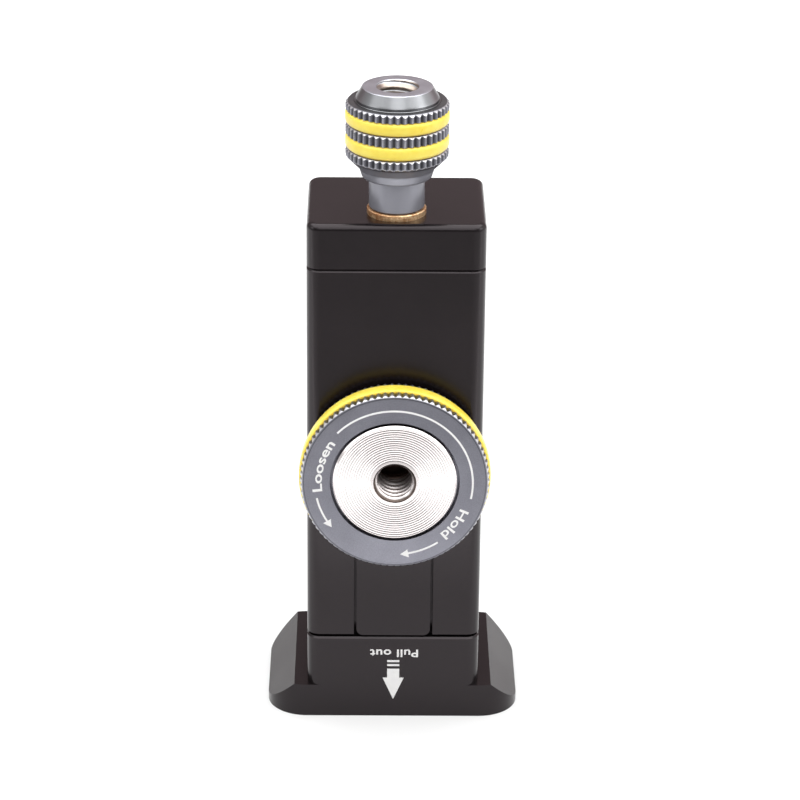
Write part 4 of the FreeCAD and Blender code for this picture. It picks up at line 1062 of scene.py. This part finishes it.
def make_return_spring(side):
    """Compression spring: a round wire along a helix whose end turns lie closer together.

    The middle line is (R cos a, R sin a, rise), where the rise per turn is the wire's width in the dead turns
    and even between them. Each wire ring stands square to the helix's own direction.
    """
    node = "return_spring_" + side
    low, high = extent(node)
    middle = (low + high) / 2
    radius = half_width(node) - SPRING_WIRE / 2
    turns = np.linspace(0, SPRING_TURNS, SPRING_TURNS * SPRING_TURN_STEPS + 1)
    height = high[2] - low[2] - SPRING_WIRE
    dead_rise = SPRING_WIRE * SPRING_DEAD_TURNS
    rise = np.interp(turns, [0, SPRING_DEAD_TURNS, SPRING_TURNS - SPRING_DEAD_TURNS, SPRING_TURNS],
                     [0, dead_rise, height - dead_rise, height])
    a = turns * TURN
    line = np.stack([radius * np.cos(a), radius * np.sin(a), rise], axis=1)
    ahead = np.gradient(line, axis=0)
    ahead /= np.linalg.norm(ahead, axis=1)[:, None]
    outward = np.stack([np.cos(a), np.sin(a), np.zeros(len(a))], axis=1)
    upward = np.cross(ahead, outward)
    b = (TURN * np.arange(WIRE_SIDES) / WIRE_SIDES)[None, :, None]
    ring = SPRING_WIRE / 2 * (np.cos(b) * outward[:, None] + np.sin(b) * upward[:, None])
    points = line[:, None] + ring + (middle[0], middle[1], low[2] + SPRING_WIRE / 2)
    piece = add_tube("spring_coil_" + side, points, body="foot", slot="spring_steel", material=SPRING_STEEL)
    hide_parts(node)
    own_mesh(piece)


# White markings; their print sinks into the surface and rises out of it
PRINT_RISE = 0.02
PRINT_SINK = 0.01
PRINTED = {"slot": "white_polymer", "material": PRINT, "sharp": 20.0}
WORD_HEIGHT = 1.45
WORD_REACH = 11.27
WORD_BOLD = 0.02
WORD_CURVE_STEPS = 4
ARC_REACH = 11.55
ARC_WIDTH = 0.29
HEAD_WIDTH = 1.34
HEAD_LENGTH = 1.2
HEAD_TIP = 0.001
HEAD_STEPS = 12
STRIPE_STEPS = 60
NECK_STEPS = 40
MARK_CENTRE = (-0.12, -0.15)


def word_mesh(text, spacing=1.0):
    """A word as a thin mesh: its points and faces.

    The points are shares of the word's width and height, and a rise in millimetres.
    """
    curve = bpy.data.curves.new("word_" + text, "FONT")
    curve.body = text
    curve.space_character = spacing
    curve.offset = WORD_BOLD
    curve.align_x = "CENTER"
    curve.align_y = "CENTER"
    curve.extrude = (PRINT_RISE + PRINT_SINK) / 2
    curve.resolution_u = WORD_CURVE_STEPS
    holder = bpy.data.objects.new("word_" + text, curve)
    bpy.context.collection.objects.link(holder)
    bpy.context.view_layer.update()
    mesh = bpy.data.meshes.new_from_object(holder.evaluated_get(bpy.context.evaluated_depsgraph_get()))
    points = np.zeros(3 * len(mesh.vertices))
    mesh.vertices.foreach_get("co", points)
    points = points.reshape(-1, 3)
    points[:, :2] /= np.ptp(points[:, :2], axis=0)
    points[:, 2] += (PRINT_RISE - PRINT_SINK) / 2
    faces = [list(face.vertices) for face in mesh.polygons]
    bpy.data.objects.remove(holder)
    bpy.data.meshes.remove(mesh)
    return points, faces


def on_wheel(reach, angle, rise):
    """Points on the wheel's face from a reach, an angle counted from the right, and a rise from the face."""
    across = WHEEL_MIDDLE[0] + MARK_CENTRE[0] + reach * np.cos(angle)
    up = WHEEL_MIDDLE[2] + MARK_CENTRE[1] + reach * np.sin(angle)
    return np.stack([across, extent("lock_wheel")[0][1] - rise, up], axis=-1)


def curved_word(name, text, middle_degrees, span_degrees):
    """A word bent round the wheel, read clockwise with its tops outward: across becomes the angle."""
    points, faces = word_mesh(text)
    angle = math.radians(middle_degrees) - points[:, 0] * math.radians(span_degrees)
    middle = (points[:, 1].max() + points[:, 1].min()) / 2
    points = on_wheel(WORD_REACH + (points[:, 1] - middle) * WORD_HEIGHT, angle, points[:, 2])
    add_piece(name, points, faces, "wheel", **PRINTED)


def curved_stripe(name, start_degrees, stop_degrees, with_head=False):
    """A stripe round the wheel between two angles, of even width, with an arrow head if one is asked for.

    At the head the half width jumps to the head's own and falls in a straight line to its tip.
    """
    start, stop = math.radians(start_degrees), math.radians(stop_degrees)
    share = np.linspace(0, 1, STRIPE_STEPS)
    half = np.full(STRIPE_STEPS, ARC_WIDTH / 2)
    if with_head:
        neck = 1 - HEAD_LENGTH / ARC_REACH / abs(stop - start)
        head = np.linspace(neck, 1, HEAD_STEPS)
        share = np.concatenate([np.linspace(0, neck, NECK_STEPS), head])
        spread = HEAD_WIDTH / 2 * (1 - head) / (1 - neck) + HEAD_TIP
        half = np.concatenate([np.full(NECK_STEPS, ARC_WIDTH / 2), spread])
    angle = start + (stop - start) * share
    sides = np.array([[-1, -PRINT_SINK], [1, -PRINT_SINK], [1, PRINT_RISE], [-1, PRINT_RISE]])
    reach = ARC_REACH + half[:, None] * sides[:, 0]
    points = on_wheel(*np.broadcast_arrays(reach, angle[:, None], sides[:, 1]))
    add_tube(name, points, body="wheel", **PRINTED)


def on_foot(across, up, rise):
    """Points on the front of the jaw block."""
    return np.stack(np.broadcast_arrays(across, HOUSING_FRONT - rise, up), axis=-1)


def flat_shape(name, *outline):
    """A flat marking on the jaw block: an outline of (across, up) corners given a thin edge."""
    across, up = np.array(outline, float).T
    points = np.stack([on_foot(across, up, PRINT_RISE), on_foot(across, up, -PRINT_SINK)])
    add_tube(name, points, body="foot", **PRINTED)


# The foot's word and arrow, seen upside down from the front, and the bars behind the arrow
FOOT_WORD_HEIGHT = 1.30
FOOT_WORD_WIDTH = 7.3
FOOT_WORD_SPACING = 1.05
FOOT_WORD_MIDDLE = (0.25, 11.0)
ARROW_MIDDLE = 0.07
ARROW_TIP = 2.9
ARROW_SHOULDER = 6.6
ARROW_TOP = 8.14
ARROW_HALF = 1.6
BAR_HALF = 0.92
BARS = {"mark_bar_upper": (9.62, 9.28), "mark_bar_lower": (8.93, 8.59)}


def make_markings():
    """Plain words with arrows: which way to turn the wheel, and which way to pull the jaw."""
    curved_word("mark_loosen", "Loosen", 165.5, 43.0)
    curved_word("mark_hold", "Hold", -36.0, 27.0)
    curved_stripe("mark_arc", 136.0, -12.0)
    curved_stripe("mark_loosen_arrow", 192.0, 218.0, True)
    curved_stripe("mark_hold_arrow", -55.5, -85.0, True)
    points, faces = word_mesh("Pull out", FOOT_WORD_SPACING)
    across = FOOT_WORD_MIDDLE[0] - points[:, 0] * FOOT_WORD_WIDTH
    up = FOOT_WORD_MIDDLE[1] - (points[:, 1] - points[:, 1].mean()) * FOOT_WORD_HEIGHT
    add_piece("mark_pull", on_foot(across, up, points[:, 2]), faces, "foot", **PRINTED)
    left, right = ARROW_MIDDLE - BAR_HALF, ARROW_MIDDLE + BAR_HALF
    for name, (top, bottom) in BARS.items():
        flat_shape(name, (left, top), (right, top), (right, bottom), (left, bottom))
    flat_shape("mark_pull_arrow", (left, ARROW_TOP), (right, ARROW_TOP), (right, ARROW_SHOULDER),
               (ARROW_MIDDLE + ARROW_HALF, ARROW_SHOULDER), (ARROW_MIDDLE, ARROW_TIP),
               (ARROW_MIDDLE - ARROW_HALF, ARROW_SHOULDER), (left, ARROW_SHOULDER))


make_camera()
for lamp, (lamp_place, lamp_size, lamp_power) in LAMPS.items():
    make_softbox(lamp, lamp_place, lamp_size, lamp_power)
make_room()
make_floor()
finish_packed_nodes()
make_tripod_socket()
make_threaded_insert()
make_lock_wheel()
make_knob()
make_elastic_rings()
make_pads()
for spring_side in ("left", "right"):
    make_return_spring(spring_side)
make_markings()

scene = bpy.context.scene
scene.view_settings.view_transform = "Standard"
